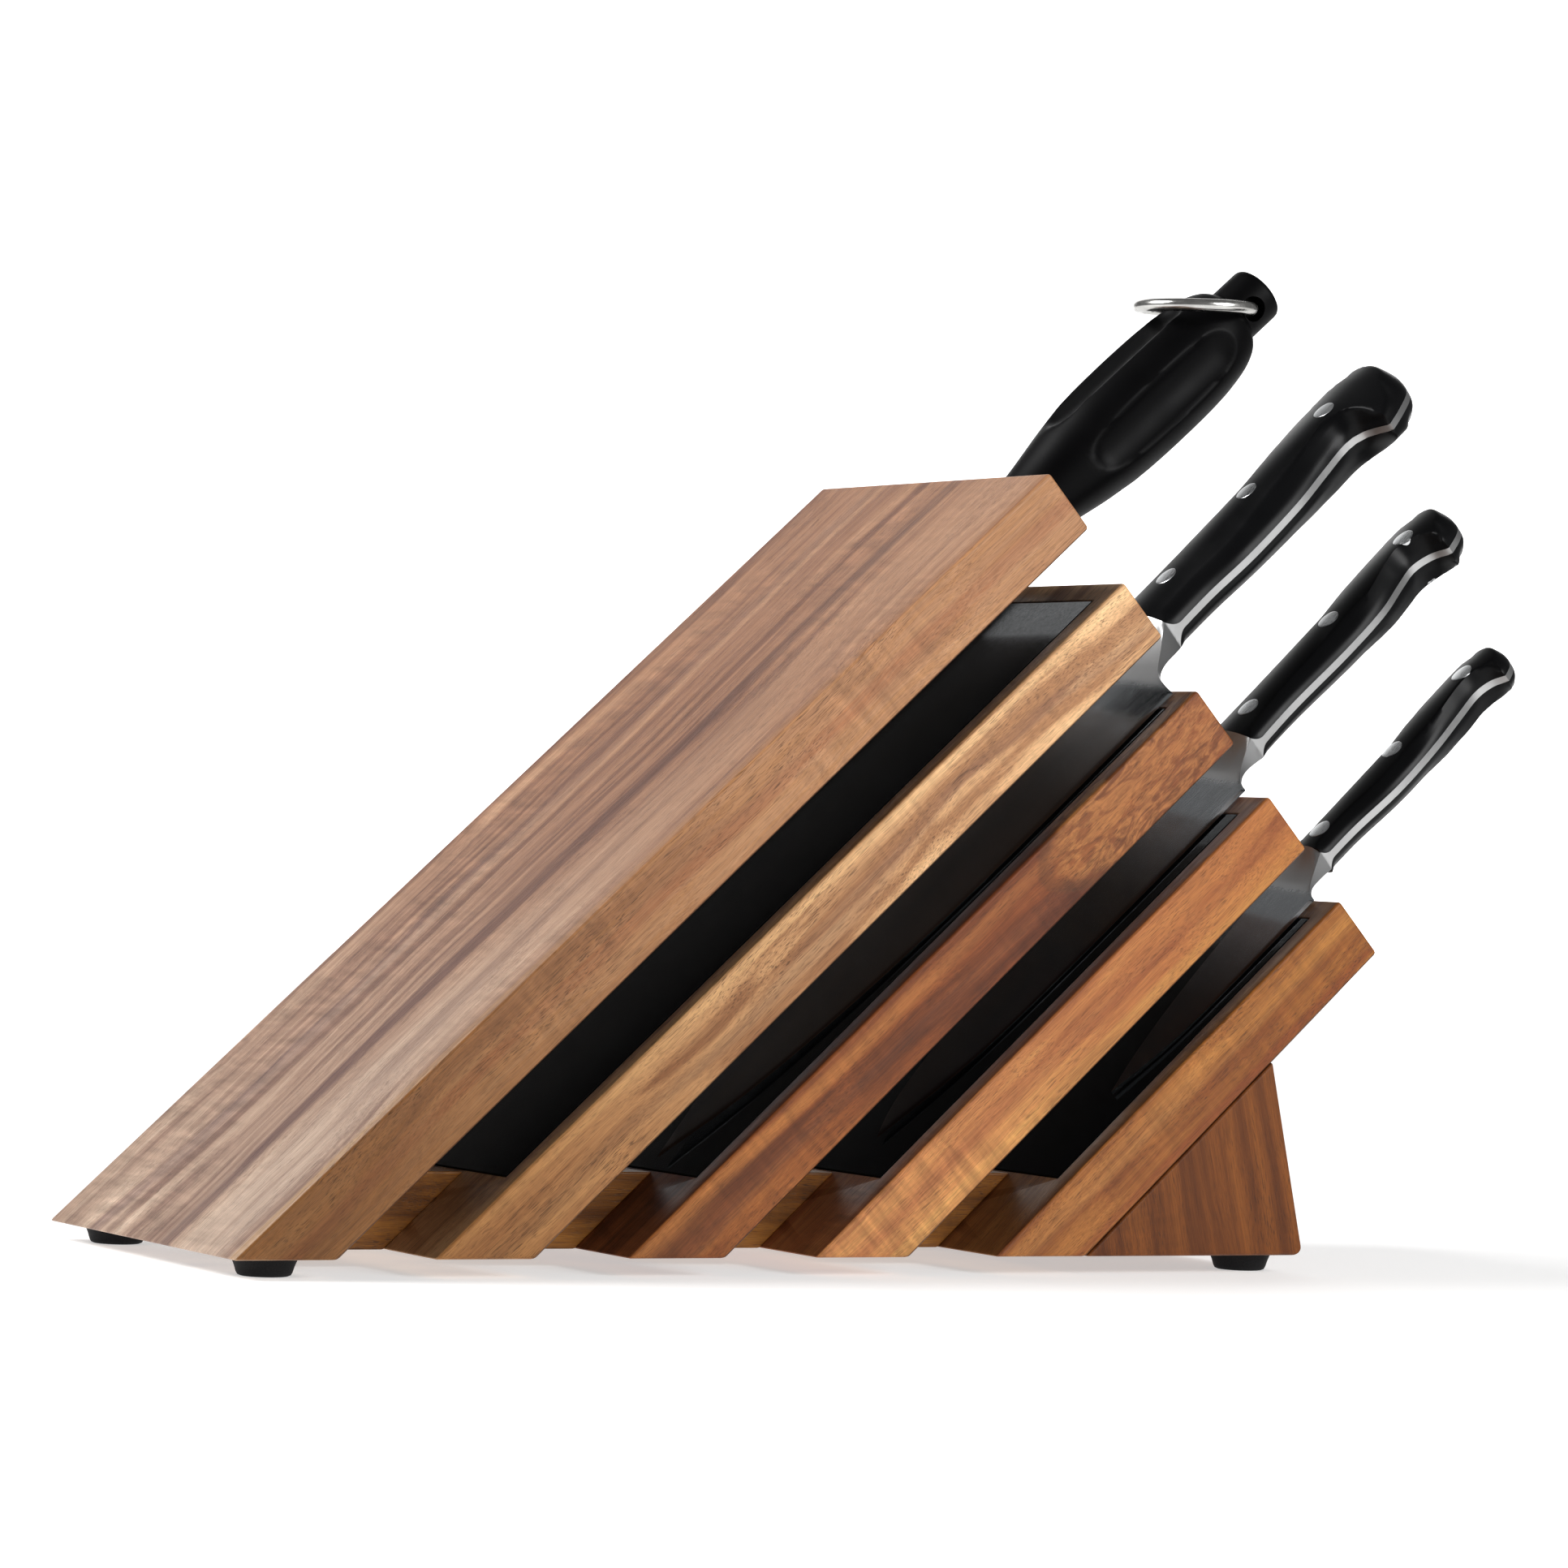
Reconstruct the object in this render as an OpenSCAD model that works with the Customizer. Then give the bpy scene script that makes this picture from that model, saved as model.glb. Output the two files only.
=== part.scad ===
// Cascading magnetic knife rack: five slanted boards on one base, with three knives and a honing steel.
// The origin is at the middle of the footprint, on the surface that the feet stand on. +X runs from the
// tallest board to the shortest, +Y from the side that the cutting edges face to the far side, and +Z up.

/* [Rack] */
// Depth of the rack from its near side to its far side
rack_d = 130; // [120:1:150]
// Thickness of each slanted board
board_t = 20; // [19:0.5:22]
// Lean of the boards above the horizontal
board_angle = 42.6; // [41:0.1:44]
// Step from one board to the next along the base
board_pitch = 57.2; // [56:0.1:60]
// Length of the tallest board along its upper face
first_board_len = 322; // [320:1:330]
// How much shorter each next board is
board_len_step = 43; // [42:0.5:43.5]

/* [Magnet panels] */
// Thickness of the black panels
panel_t = 3; // [2:0.5:4]
// Wood left between a panel and the long sides of its board
panel_side_border = 6.6; // [5:0.2:8]
// Wood left between a panel and the top of its board
panel_top_border = 7.6; // [6:0.2:10]
// Height on the board at which the panels start
panel_start = 31.4; // [31.2:0.2:36]
// Dark joint around each panel
panel_gap = 0.5; // [0.3:0.1:0.8]

/* [Base] */
// Depth of the spacers between the boards
spacer_d = 66; // [60:2:80]
// Height of the spacers
spacer_h = 21; // [18:1:24]
// How far up the last board's lower face the wedge reaches
wedge_reach = 81.5; // [75:0.5:90]
// Length of the wedge's underside
wedge_len = 72.6; // [70:0.2:80]
// Diameter of a foot where it meets the wood
foot_d = 17.6; // [16:0.2:20]
// Diameter of a foot where it meets the table
foot_low_d = 14.6; // [13:0.2:16]
// Height of a foot
foot_h = 5; // [4:0.5:7]

/* [Knives] */
// Roll of each knife about its cutting edge, which lifts its spine
knife_roll = 4; // [2:0.5:4.5]
// Length of the chef's knife's blade
chef_blade_len = 199; // [180:1:202]
// Length of the utility knife's blade
utility_blade_len = 150; // [130:1:156]
// Length of the paring knife's blade
paring_blade_len = 84; // [75:1:90]
// Diameter of the handle rivets
rivet_d = 7; // [5:0.5:7.5]

/* [Honing steel] */
// Diameter of the honing steel's rod
rod_d = 12; // [10:0.5:12.5]
// Length of the rod that stands out of the handle
rod_len = 245; // [200:5:250]
// Diameter of the hanging ring to the middle of its wire
ring_d = 33.6; // [33:0.2:35]
// Diameter of the ring's wire
ring_wire_d = 3.8; // [3:0.2:4]

/* [Hidden] */
$fn = 64;

wood = "burlywood";
wood_dark = "peru";
black_gloss = "#101012";
black_matte = "#26282b";
rubber = "#161616";
bright_steel = "lightsteelblue";

// Half of the distance from the tallest board's foot to the butt that reaches furthest out
half_len = 209.5;
board_flat = board_t / sin(board_angle);
slot_w = board_pitch * sin(board_angle) - board_t;
slot_flat = slot_w / sin(board_angle);
wedge_r = 3;

magnet_len = 100;
magnet_w = 12;
magnet_t = 5;
magnet_step = 41;
magnet_fit = 0.2;
magnet_first = 22;

dowel_d = 8;
dowel_len = slot_flat + 20;
dowel_z = spacer_h / 2;
dowel_y = 20;
wedge_dowel_y = 40;
wedge_dowel_z = 26;
wedge_dowel_len = 24;

foot_inset = 14;
foot_x_left = board_flat / 2;
foot_x_right = 4 * board_pitch + board_flat + wedge_len - 12.5;
screw_d = 3.5;
screw_head_d = 7;
screw_head_h = 2;
screw_recess = 0.8;
screw_in_wood = 9;

tang_t = 2.2;
blade_spine_t = 2.4;
blade_edge_t = 0.4;
edge_clear = 0.6;
dome_r = 34;

function board_x(i) = (i - 1) * board_pitch;
function board_len(i) = first_board_len - (i - 1) * board_len_step;
function magnet_count(i) = floor((board_len(i) - panel_start - panel_top_border - 2 * magnet_first) / magnet_step) + 1;

// A smooth curve through points p, with n steps between each two
function blend(a, b, c, d, t) =
    0.5 * (2 * b + (c - a) * t + (2 * a - 5 * b + 4 * c - d) * t * t + (3 * b - a - 3 * c + d) * t * t * t);
function smooth(p, n = 6) = [
    for (i = [0 : len(p) - 2], k = [0 : n - 1])
        blend(p[max(i - 1, 0)], p[i], p[i + 1], p[min(i + 2, len(p) - 1)], k / n),
    p[len(p) - 1]
];

// ---------- frames ----------

// Children are drawn in a board's own frame: X up along its upper face from its foot, Y from the near
// side to the far side, and Z out of the upper face.
module on_board(i) {
    translate([board_x(i) - half_len, -rack_d / 2, foot_h])
        rotate([0, -board_angle, 0])
            children();
}

// Children are drawn on the base: X from the tallest board's lower left edge, Z up from the boards' underside
module on_base() {
    translate([-half_len, 0, foot_h])
        children();
}

// Children are drawn in a knife's frame: X from the heel to the butt, Y from the cutting edge to the
// spine, and Z through the thickness, with 0 in the middle of the blade.
module on_knife(k) {
    on_board(knife_board(k))
        translate([knife_heel(k)[0], knife_heel(k)[1], edge_clear])
            rotate([knife_roll, 0, 0])
                children();
}

// ---------- rack ----------

module board_outline(i) {
    c = cos(board_angle);
    s = sin(board_angle);
    l = board_len(i);
    polygon([
        [0, 0],
        [board_flat, 0],
        [l * c + board_t * s, l * s - board_t * c],
        [l * c, l * s]
    ]);
}

module panel_recess(i) {
    on_board(i)
        translate([panel_start, panel_side_border, -panel_t])
            cube([board_len(i) - panel_start - panel_top_border, rack_d - 2 * panel_side_border, panel_t + 1]);
}

module magnet_places(i) {
    for (k = [0 : magnet_count(i) - 1])
        on_board(i)
            translate([panel_start + magnet_first + k * magnet_step, rack_d / 2, -panel_t])
                children();
}

module magnet_pockets(i) {
    magnet_places(i)
        translate([-magnet_w / 2 - magnet_fit, -magnet_len / 2 - magnet_fit, -magnet_t - magnet_fit])
            cube([magnet_w + 2 * magnet_fit, magnet_len + 2 * magnet_fit, magnet_t + magnet_fit + 1]);
}

module dowel_solids() {
    for (i = [1 : 4], y = [-dowel_y, dowel_y])
        translate([board_x(i) + board_flat + slot_flat / 2 + dowel_z / tan(board_angle), y, dowel_z])
            rotate([0, 90, 0])
                cylinder(d = dowel_d, h = dowel_len, center = true);
    for (y = [-wedge_dowel_y, wedge_dowel_y])
        translate([board_x(5) + board_flat + wedge_dowel_z / tan(board_angle), y, wedge_dowel_z])
            rotate([0, 90, 0])
                cylinder(d = dowel_d, h = wedge_dowel_len, center = true);
}

module screw_places() {
    for (x = [foot_x_left, foot_x_right], y = [foot_inset - rack_d / 2, rack_d / 2 - foot_inset])
        translate([x, y, 0])
            children();
}

module board(i) {
    color(wood)
        difference() {
            on_base()
                translate([board_x(i), rack_d / 2, 0])
                    rotate([90, 0, 0])
                        linear_extrude(rack_d)
                            board_outline(i);
            if (i > 1) {
                panel_recess(i);
                magnet_pockets(i);
            }
            on_base()
                dowel_solids();
            on_base()
                screw_places()
                    translate([0, 0, -1])
                        cylinder(d = screw_d, h = screw_in_wood + 1);
        }
}

module spacer(i) {
    top_shift = spacer_h / tan(board_angle);
    color(wood_dark)
        difference() {
            on_base()
                translate([board_x(i) + board_flat, spacer_d / 2, 0])
                    rotate([90, 0, 0])
                        linear_extrude(spacer_d)
                            polygon([[0, 0], [slot_flat, 0], [slot_flat + top_shift, spacer_h], [top_shift, spacer_h]]);
            on_base()
                dowel_solids();
        }
}

module wedge_outline() {
    top = [wedge_reach * cos(board_angle), wedge_reach * sin(board_angle)];
    lean = atan2(top[1], wedge_len - top[0]);
    corner = [wedge_len - wedge_r / tan(lean / 2), wedge_r];
    difference() {
        polygon([[0, 0], [wedge_len, 0], top]);
        difference() {
            translate([corner[0], -1])
                square([wedge_len, wedge_r * (1 + cos(lean)) + 1]);
            translate(corner)
                circle(r = wedge_r);
            polygon([[0, wedge_r], corner, corner + wedge_r * [sin(lean), cos(lean)], top]);
        }
    }
}

module support_wedge() {
    color(wood_dark)
        difference() {
            on_base()
                translate([board_x(5) + board_flat, rack_d / 2, 0])
                    rotate([90, 0, 0])
                        linear_extrude(rack_d)
                            wedge_outline();
            on_base()
                dowel_solids();
            on_base()
                screw_places()
                    translate([0, 0, -1])
                        cylinder(d = screw_d, h = screw_in_wood + 1);
        }
}

module magnet_panel(i) {
    color(black_gloss)
        on_board(i)
            translate([panel_start + panel_gap, panel_side_border + panel_gap, -panel_t])
                cube([
                    board_len(i) - panel_start - panel_top_border - 2 * panel_gap,
                    rack_d - 2 * panel_side_border - 2 * panel_gap,
                    panel_t
                ]);
}

module bar_magnets(i) {
    color("dimgray")
        magnet_places(i)
            translate([-magnet_w / 2, -magnet_len / 2, -magnet_t])
                cube([magnet_w, magnet_len, magnet_t]);
}

module joint_dowels() {
    color("wheat")
        on_base()
            dowel_solids();
}

module foot(x, y) {
    color(rubber)
        translate([x - half_len, y, 0])
            difference() {
                cylinder(d1 = foot_low_d, d2 = foot_d, h = foot_h);
                translate([0, 0, -1])
                    cylinder(d = screw_d, h = foot_h + 2);
                translate([0, 0, -1])
                    cylinder(d = screw_head_d + 0.4, h = screw_recess + screw_head_h + 1);
            }
}

module foot_screws() {
    color("silver")
        translate([-half_len, 0, 0])
            screw_places() {
                translate([0, 0, screw_recess])
                    difference() {
                        cylinder(d = screw_head_d, h = screw_head_h);
                        for (a = [0, 90])
                            rotate([0, 0, a])
                                translate([-1.8, -0.4, -1])
                                    cube([3.6, 0.8, 1.9]);
                    }
                translate([0, 0, screw_recess + screw_head_h])
                    cylinder(d = screw_d, h = foot_h + screw_in_wood - screw_recess - screw_head_h - 0.5);
            }
}

// ---------- knives ----------

// Which board a knife lies on, and where its heel is on that board
function knife_board(k) = k == "chef" ? 3 : k == "utility" ? 4 : 5;
function knife_heel(k) = k == "chef" ? [233.7, 9.5] : k == "utility" ? [194.5, 13.5] : [149, 11.5];

// The cutting edge from the heel to the point, and the spine from the point back to the handle
function knife_edge(k) =
    k == "chef" ? smooth([[0, 0], [-80, 0.2], [-130, 3.6], [-170, 10.8], [-chef_blade_len, 21.9]])
    : k == "utility" ? smooth([[0, 0], [-70, 0.2], [-115, 2.6], [-utility_blade_len, 11]])
    : smooth([[0, 0], [-35, 0.2], [-62, 1.6], [-paring_blade_len, 6.6]]);
function knife_spine(k) =
    k == "chef" ? smooth([[-chef_blade_len, 21.9], [-184, 27.2], [-150, 38], [-90, 47], [-4, 51.5]])
    : k == "utility" ? smooth([[-utility_blade_len, 11], [-132, 19.5], [-90, 27.5], [-3, 32.5]])
    : smooth([[-paring_blade_len, 6.6], [-66, 12.4], [-40, 18.2], [-3, 23.8]]);

// Handle: where the scales start and end, the near edge up to the hook, and the far edge
function scale_start(k) = k == "chef" ? 24 : k == "utility" ? 17.5 : 16;
function butt_end(k) = k == "chef" ? 140 : k == "utility" ? 119.5 : 106.5;
function near_edge(k) =
    k == "chef" ? [[24, 27], [42, 28], [60, 27], [82, 28.6], [98, 32], [110, 34.3], [116, 31.4], [119.6, 22.5]]
    : k == "utility" ? [[17.5, 13.4], [36, 15.2], [60, 15], [78, 16.6], [90, 20.6], [98, 22.8], [104, 19.8], [107, 14]]
    : [[16, 11.4], [30, 11.7], [48, 9.9], [66, 11.3], [80, 14], [90, 15.9], [95.6, 14], [98.4, 9.6]];
function butt_edge(k) =
    k == "chef" ? [[119.6, 22.5], [127, 25.4], [134.5, 29.8], [139, 37], [140, 45], [137.5, 52], [131, 55.6], [121, 56]]
    : k == "utility" ? [[107, 14], [113, 16.4], [117, 20], [119.5, 27], [117.8, 33], [113, 36], [105, 36.2]]
    : [[98.4, 9.6], [102.4, 11.6], [105.6, 15.6], [106.5, 20.5], [104.4, 25], [100, 26.9], [93, 26.8]];
function far_edge(k) =
    k == "chef" ? [[121, 56], [90, 54], [50, 53], [24, 52.6]]
    : k == "utility" ? [[105, 36.2], [80, 35], [45, 34.2], [17.5, 33.6]]
    : [[93, 26.8], [70, 26], [40, 25.4], [16, 24.8]];
function handle_outline(k) = concat(smooth(near_edge(k)), smooth(butt_edge(k)), smooth(far_edge(k)));

// The bolster's back runs from the heel up to the near edge of the handle
function bolster_back(k) =
    k == "chef" ? [[0, 0], [2.8, 7], [6, 13.4], [10, 17.6], [16, 21.8], [24, 27]]
    : k == "utility" ? [[0, 0], [2.4, 4.6], [6, 8.6], [11, 11.4], [17.5, 13.4]]
    : [[0, 0], [1.8, 3.4], [5, 6.8], [10, 9.2], [16, 11.4]];
function bolster_outline(k) =
    let (front = knife_spine(k)[len(knife_spine(k)) - 1], handle = far_edge(k)[len(far_edge(k)) - 1])
    concat(smooth(bolster_back(k)), [handle, front, [front[0] - 4, front[1] - 0.4], [-7, 0.1]]);

// Half thickness of a handle at its bolster and at its butt
function half_front(k) = k == "chef" ? 7.6 : k == "utility" ? 5.8 : 5.2;
function half_butt(k) = k == "chef" ? 10 : k == "utility" ? 8 : 6.6;
function handle_mid(k) = k == "chef" ? 42 : k == "utility" ? 25.4 : 18.7;

function rivet_places(k) =
    k == "chef" ? [[40.5, 42.2], [78.3, 42.6], [115, 42.8]]
    : k == "utility" ? [[28, 24.4], [66.4, 25.2], [103, 26.4]]
    : [[23.4, 18.2], [58.2, 19], [92.4, 20.3]];

// Where the board ends below each knife; the bolster swells only beyond it
function board_end(k) = board_len(knife_board(k)) - knife_heel(k)[0];

// Half thickness from the front of the bolster to the butt, seen from the near side
module side_profile(k) {
    f = half_front(k);
    b = half_butt(k);
    x0 = scale_start(k);
    x1 = board_end(k) + 0.3;
    flare = smooth([[x1, 0.2], [x1 + 2.4, 1.3], [x0 * 0.5, f * 0.46], [x0 * 0.8, f * 0.88], [x0, f]], 5);
    back = smooth([[x0, f], [(x0 + butt_end(k)) / 2, (f + b) / 2 + 0.2], [butt_end(k) - 12, b], [butt_end(k), b * 0.8]], 5);
    side = concat(flare, back);
    polygon(concat(side, [for (i = [len(side) - 1 : -1 : 0]) [side[i][0], -side[i][1]]]));
}

// Cross-section of the handle, domed on both faces
module dome_section(k) {
    top = half_butt(k) + 0.4;
    r = dome_r * half_butt(k) / half_butt("chef");
    for (m = [0, 1])
        mirror([0, m])
            intersection() {
                translate([handle_mid(k), top - r])
                    circle(r = r, $fn = 128);
                translate([-20, -0.1])
                    square([100, 30]);
            }
}

module handle_form(k) {
    intersection() {
        linear_extrude(40, center = true)
            polygon(handle_outline(k));
        translate([0, 80, 0])
            rotate([90, 0, 0])
                linear_extrude(120)
                    side_profile(k);
        rotate([90, 0, 90])
            linear_extrude(200)
                dome_section(k);
    }
}

module rivet_holes(k) {
    for (p = rivet_places(k))
        translate([p[0], p[1], 0])
            cylinder(d = rivet_d, h = 60, center = true);
}

module blade_form(k) {
    spine_y = max([for (p = handle_outline(k)) p[1]]);
    intersection() {
        linear_extrude(10, center = true) {
            polygon(concat(knife_edge(k), knife_spine(k)));
            polygon(bolster_outline(k));
        }
        rotate([90, 0, 90])
            translate([0, 0, -250])
                linear_extrude(280)
                    polygon([
                        [-1, -blade_edge_t / 2], [spine_y, -blade_spine_t / 2],
                        [spine_y, blade_spine_t / 2], [-1, blade_edge_t / 2]
                    ]);
    }
}

module bolster_form(k) {
    intersection() {
        linear_extrude(40, center = true)
            polygon(bolster_outline(k));
        translate([0, 80, 0])
            rotate([90, 0, 0])
                linear_extrude(120)
                    side_profile(k);
    }
}

module blade(k) {
    color(bright_steel)
        on_knife(k)
            difference() {
                union() {
                    blade_form(k);
                    bolster_form(k);
                    linear_extrude(tang_t, center = true)
                        polygon(handle_outline(k));
                }
                rivet_holes(k);
            }
}

// side is 1 for the scale that faces up and -1 for the one that faces down
module handle_scale(k, side) {
    color(black_matte)
        on_knife(k)
            difference() {
                intersection() {
                    handle_form(k);
                    translate([0, -20, side > 0 ? tang_t / 2 : -30])
                        cube([200, 120, 30 - (side > 0 ? 0 : tang_t / 2)]);
                }
                rivet_holes(k);
            }
}

module rivets(k) {
    color("silver")
        on_knife(k)
            intersection() {
                handle_form(k);
                rivet_holes(k);
            }
}

// ---------- honing steel ----------

// The steel lies on the second board, a little askew. Children are drawn along its axis: X from the
// front of the handle to the stub that carries the ring.
steel_at = [290, 82.4];
steel_skew = -2.5;
handle_len = 119.5;
stub_r = 8.75;
hole_x = 111;
hole_d = 7.6;

module on_steel() {
    on_board(2)
        translate([steel_at[0], steel_at[1], rod_d / 2 + 0.5])
            rotate([0, 0, steel_skew])
                children();
}

module steel_rod() {
    color(bright_steel)
        on_steel()
            rotate([0, -90, 0])
                rotate_extrude()
                    difference() {
                        translate([0, -30])
                            square([rod_d / 2, rod_len + 30]);
                        translate([rod_d / 2, rod_len])
                            rotate([0, 0, 45])
                                square(2.4, center = true);
                    }
}

// Radius of the handle along its length
handle_side = smooth([[0, 8.2], [6, 9.6], [20, 11.2], [38, 14.4], [54, 16.3], [80, 16.4], [95, 14.9], [103, 12.4], [107, stub_r]], 5);

// One of the four finger hollows, the sweep of a ball along the handle
module scoop(turn) {
    ball_r = 13;
    depth = 3.8;
    reach = 23;
    rotate([turn, 0, 0])
        translate([67, 0, 16.4 + ball_r - depth])
            rotate([0, 90, 0])
                rotate_extrude($fn = 96)
                    intersection() {
                        union() {
                            translate([0, -reach])
                                square([ball_r, 2 * reach]);
                            for (y = [-reach, reach])
                                translate([0, y])
                                    circle(r = ball_r, $fn = 96);
                        }
                        translate([0, -reach - ball_r])
                            square([ball_r, 2 * (reach + ball_r)]);
                    }
}

module steel_handle() {
    color(black_matte)
        on_steel()
            difference() {
                rotate([0, 90, 0])
                    rotate_extrude($fn = 96)
                        union() {
                            polygon(concat([[0, 0]], [for (p = handle_side) [p[1], p[0]]], [[0, 107]]));
                            translate([0, 100])
                                square([stub_r - 1.2, handle_len - 100]);
                            translate([0, 100])
                                square([stub_r, handle_len - 101.2]);
                            translate([stub_r - 1.2, handle_len - 1.2])
                                circle(r = 1.2);
                        }
                for (turn = [0, 90, 180, 270])
                    scoop(turn);
                translate([hole_x, 0, 0])
                    rotate([90, 0, 0])
                        cylinder(d = hole_d, h = 40, center = true);
                translate([-1, 0, 0])
                    rotate([0, 90, 0])
                        cylinder(d = rod_d, h = 31);
            }
}

// The ring lies back around the handle's shoulder; ring_turn is its angle from the handle's axis, and
// ring_hang is how far its centre is from the middle of the cross hole
ring_turn = 41;
ring_hang = 15.3;

module hanging_ring() {
    color("silver")
        on_steel()
            translate([hole_x, 0, 0])
                rotate([0, ring_turn, 0])
                    translate([-ring_hang, 0, 0])
                        rotate_extrude($fn = 96)
                            translate([ring_d / 2, 0])
                                circle(d = ring_wire_d, $fn = 48);
}

foot_y = rack_d / 2 - foot_inset;

board(1);  // board_1
board(2);  // board_2
board(3);  // board_3
board(4);  // board_4
board(5);  // board_5
spacer(1);  // spacer_1
spacer(2);  // spacer_2
spacer(3);  // spacer_3
spacer(4);  // spacer_4
support_wedge();
magnet_panel(2);  // magnet_panel_2
magnet_panel(3);  // magnet_panel_3
magnet_panel(4);  // magnet_panel_4
magnet_panel(5);  // magnet_panel_5
bar_magnets(2);  // bar_magnets_2
bar_magnets(3);  // bar_magnets_3
bar_magnets(4);  // bar_magnets_4
bar_magnets(5);  // bar_magnets_5
joint_dowels();
foot(foot_x_left, -foot_y);  // foot_near_left
foot(foot_x_right, -foot_y);  // foot_near_right
foot(foot_x_left, foot_y);  // foot_far_left
foot(foot_x_right, foot_y);  // foot_far_right
foot_screws();
blade("chef");  // chef_blade
handle_scale("chef", 1);  // chef_upper_scale
handle_scale("chef", -1);  // chef_lower_scale
rivets("chef");  // chef_rivets
blade("utility");  // utility_blade
handle_scale("utility", 1);  // utility_upper_scale
handle_scale("utility", -1);  // utility_lower_scale
rivets("utility");  // utility_rivets
blade("paring");  // paring_blade
handle_scale("paring", 1);  // paring_upper_scale
handle_scale("paring", -1);  // paring_lower_scale
rivets("paring");  // paring_rivets
steel_rod();
steel_handle();
hanging_ring();
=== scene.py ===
"""Looks of a cascading magnetic knife rack that holds three knives and a honing steel.

Each piece is drawn in millimetres in the frame of the part it belongs to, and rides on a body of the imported
model. A board's frame has X up along its upper face, Y from the near side to the far side, and Z out of the
upper face. A knife's frame has X from the heel to the butt, Y from the edge to the spine, and Z up.
"""

import math

import bmesh
import bpy
import numpy as np
from mathutils import Matrix, Vector


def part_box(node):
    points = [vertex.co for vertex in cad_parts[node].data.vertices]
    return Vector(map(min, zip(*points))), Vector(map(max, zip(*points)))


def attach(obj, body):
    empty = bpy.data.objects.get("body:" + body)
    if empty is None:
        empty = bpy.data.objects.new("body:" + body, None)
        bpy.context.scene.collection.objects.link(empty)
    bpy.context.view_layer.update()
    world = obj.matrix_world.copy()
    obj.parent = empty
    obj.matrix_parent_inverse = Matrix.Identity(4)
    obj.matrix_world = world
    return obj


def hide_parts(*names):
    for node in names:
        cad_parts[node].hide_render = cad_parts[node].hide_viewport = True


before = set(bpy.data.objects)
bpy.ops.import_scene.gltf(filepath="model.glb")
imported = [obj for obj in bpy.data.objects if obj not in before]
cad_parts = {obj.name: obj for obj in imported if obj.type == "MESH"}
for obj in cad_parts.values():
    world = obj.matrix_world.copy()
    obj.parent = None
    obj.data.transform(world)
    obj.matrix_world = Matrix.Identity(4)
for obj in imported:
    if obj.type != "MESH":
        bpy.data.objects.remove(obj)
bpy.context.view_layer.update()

MM = 0.001
LEAN = math.radians(42.6)
BOARD_T = 20.0
BOARD_D = 130.0
FIRST_LEN = 322.0
LEN_STEP = 43.0
PANEL_START = 31.4
PANEL_SIDE = 6.6
PANEL_TOP = 7.6
PANEL_GAP = 0.5
PANEL_T = 3.0
EDGE_CLEAR = 0.6
KNIFE_ROLL = math.radians(4.0)
CAMERA_YAW = math.radians(28.695)
# How far an envelope stands past the flat faces of the CAD solid that it rounds
GROW = 0.01


# --- frames ---

def board_len(i):
    return FIRST_LEN - (i - 1) * LEN_STEP


def board_matrix(i):
    low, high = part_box(f"board_{i}")
    turn = Matrix.Rotation(-LEAN, 4, "Y")
    return Matrix.Translation(low) @ turn


def knife_matrix(knife):
    heel = Vector((knife["heel"][0], knife["heel"][1], EDGE_CLEAR)) * MM
    return board_matrix(knife["board"]) @ Matrix.Translation(heel) @ Matrix.Rotation(KNIFE_ROLL, 4, "X")


def steel_matrix():
    """X runs along the rod towards the grip, from where the grip starts, over the second board's face."""
    place = Vector((290.0, 82.4, ROD_D / 2 + 0.5)) * MM
    skew = Matrix.Rotation(math.radians(-2.5), 4, "Z")
    return board_matrix(2) @ Matrix.Translation(place) @ skew


# --- mesh helpers ---

def smooth_curve(points, steps=6):
    """Points of a smooth curve through the given points."""
    made = []
    last = len(points) - 1
    for i in range(last):
        a, b = points[max(i - 1, 0)], points[i]
        c, d = points[i + 1], points[min(i + 2, last)]
        for k in range(steps):
            t = k / steps
            made.append(tuple(
                0.5 * (2 * q + (r - p) * t + (2 * p - 5 * q + 4 * r - s) * t * t
                       + (3 * q - p - 3 * r + s) * t ** 3)
                for p, q, r, s in zip(a, b, c, d)
            ))
    made.append(tuple(points[last]))
    return made


def ease(t):
    t = min(max(t, 0.0), 1.0)
    return t * t * (3 - 2 * t)


def soft_min(a, b, width):
    """The smaller of a and b, rounded where they cross."""
    gap = max(width - abs(a - b), 0.0) / width
    return min(a, b) - gap * gap * width / 4


def clean(mesh, sharp_degrees):
    """Merges doubled points, turns the faces outward and marks edges sharper than the given angle."""
    work = bmesh.new()
    work.from_mesh(mesh)
    bmesh.ops.remove_doubles(work, verts=work.verts, dist=2e-6)
    bmesh.ops.dissolve_degenerate(work, edges=work.edges, dist=1e-7)
    bmesh.ops.recalc_face_normals(work, faces=work.faces)
    work.to_mesh(mesh)
    work.free()
    for face in mesh.polygons:
        face.use_smooth = True
    mesh.set_sharp_from_angle(angle=math.radians(sharp_degrees))


def mesh_of(name, points, faces, sharp_degrees=32):
    mesh = bpy.data.meshes.new(name)
    mesh.from_pydata([Vector(p) * MM for p in points], [], faces)
    clean(mesh, sharp_degrees)
    return mesh


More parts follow.
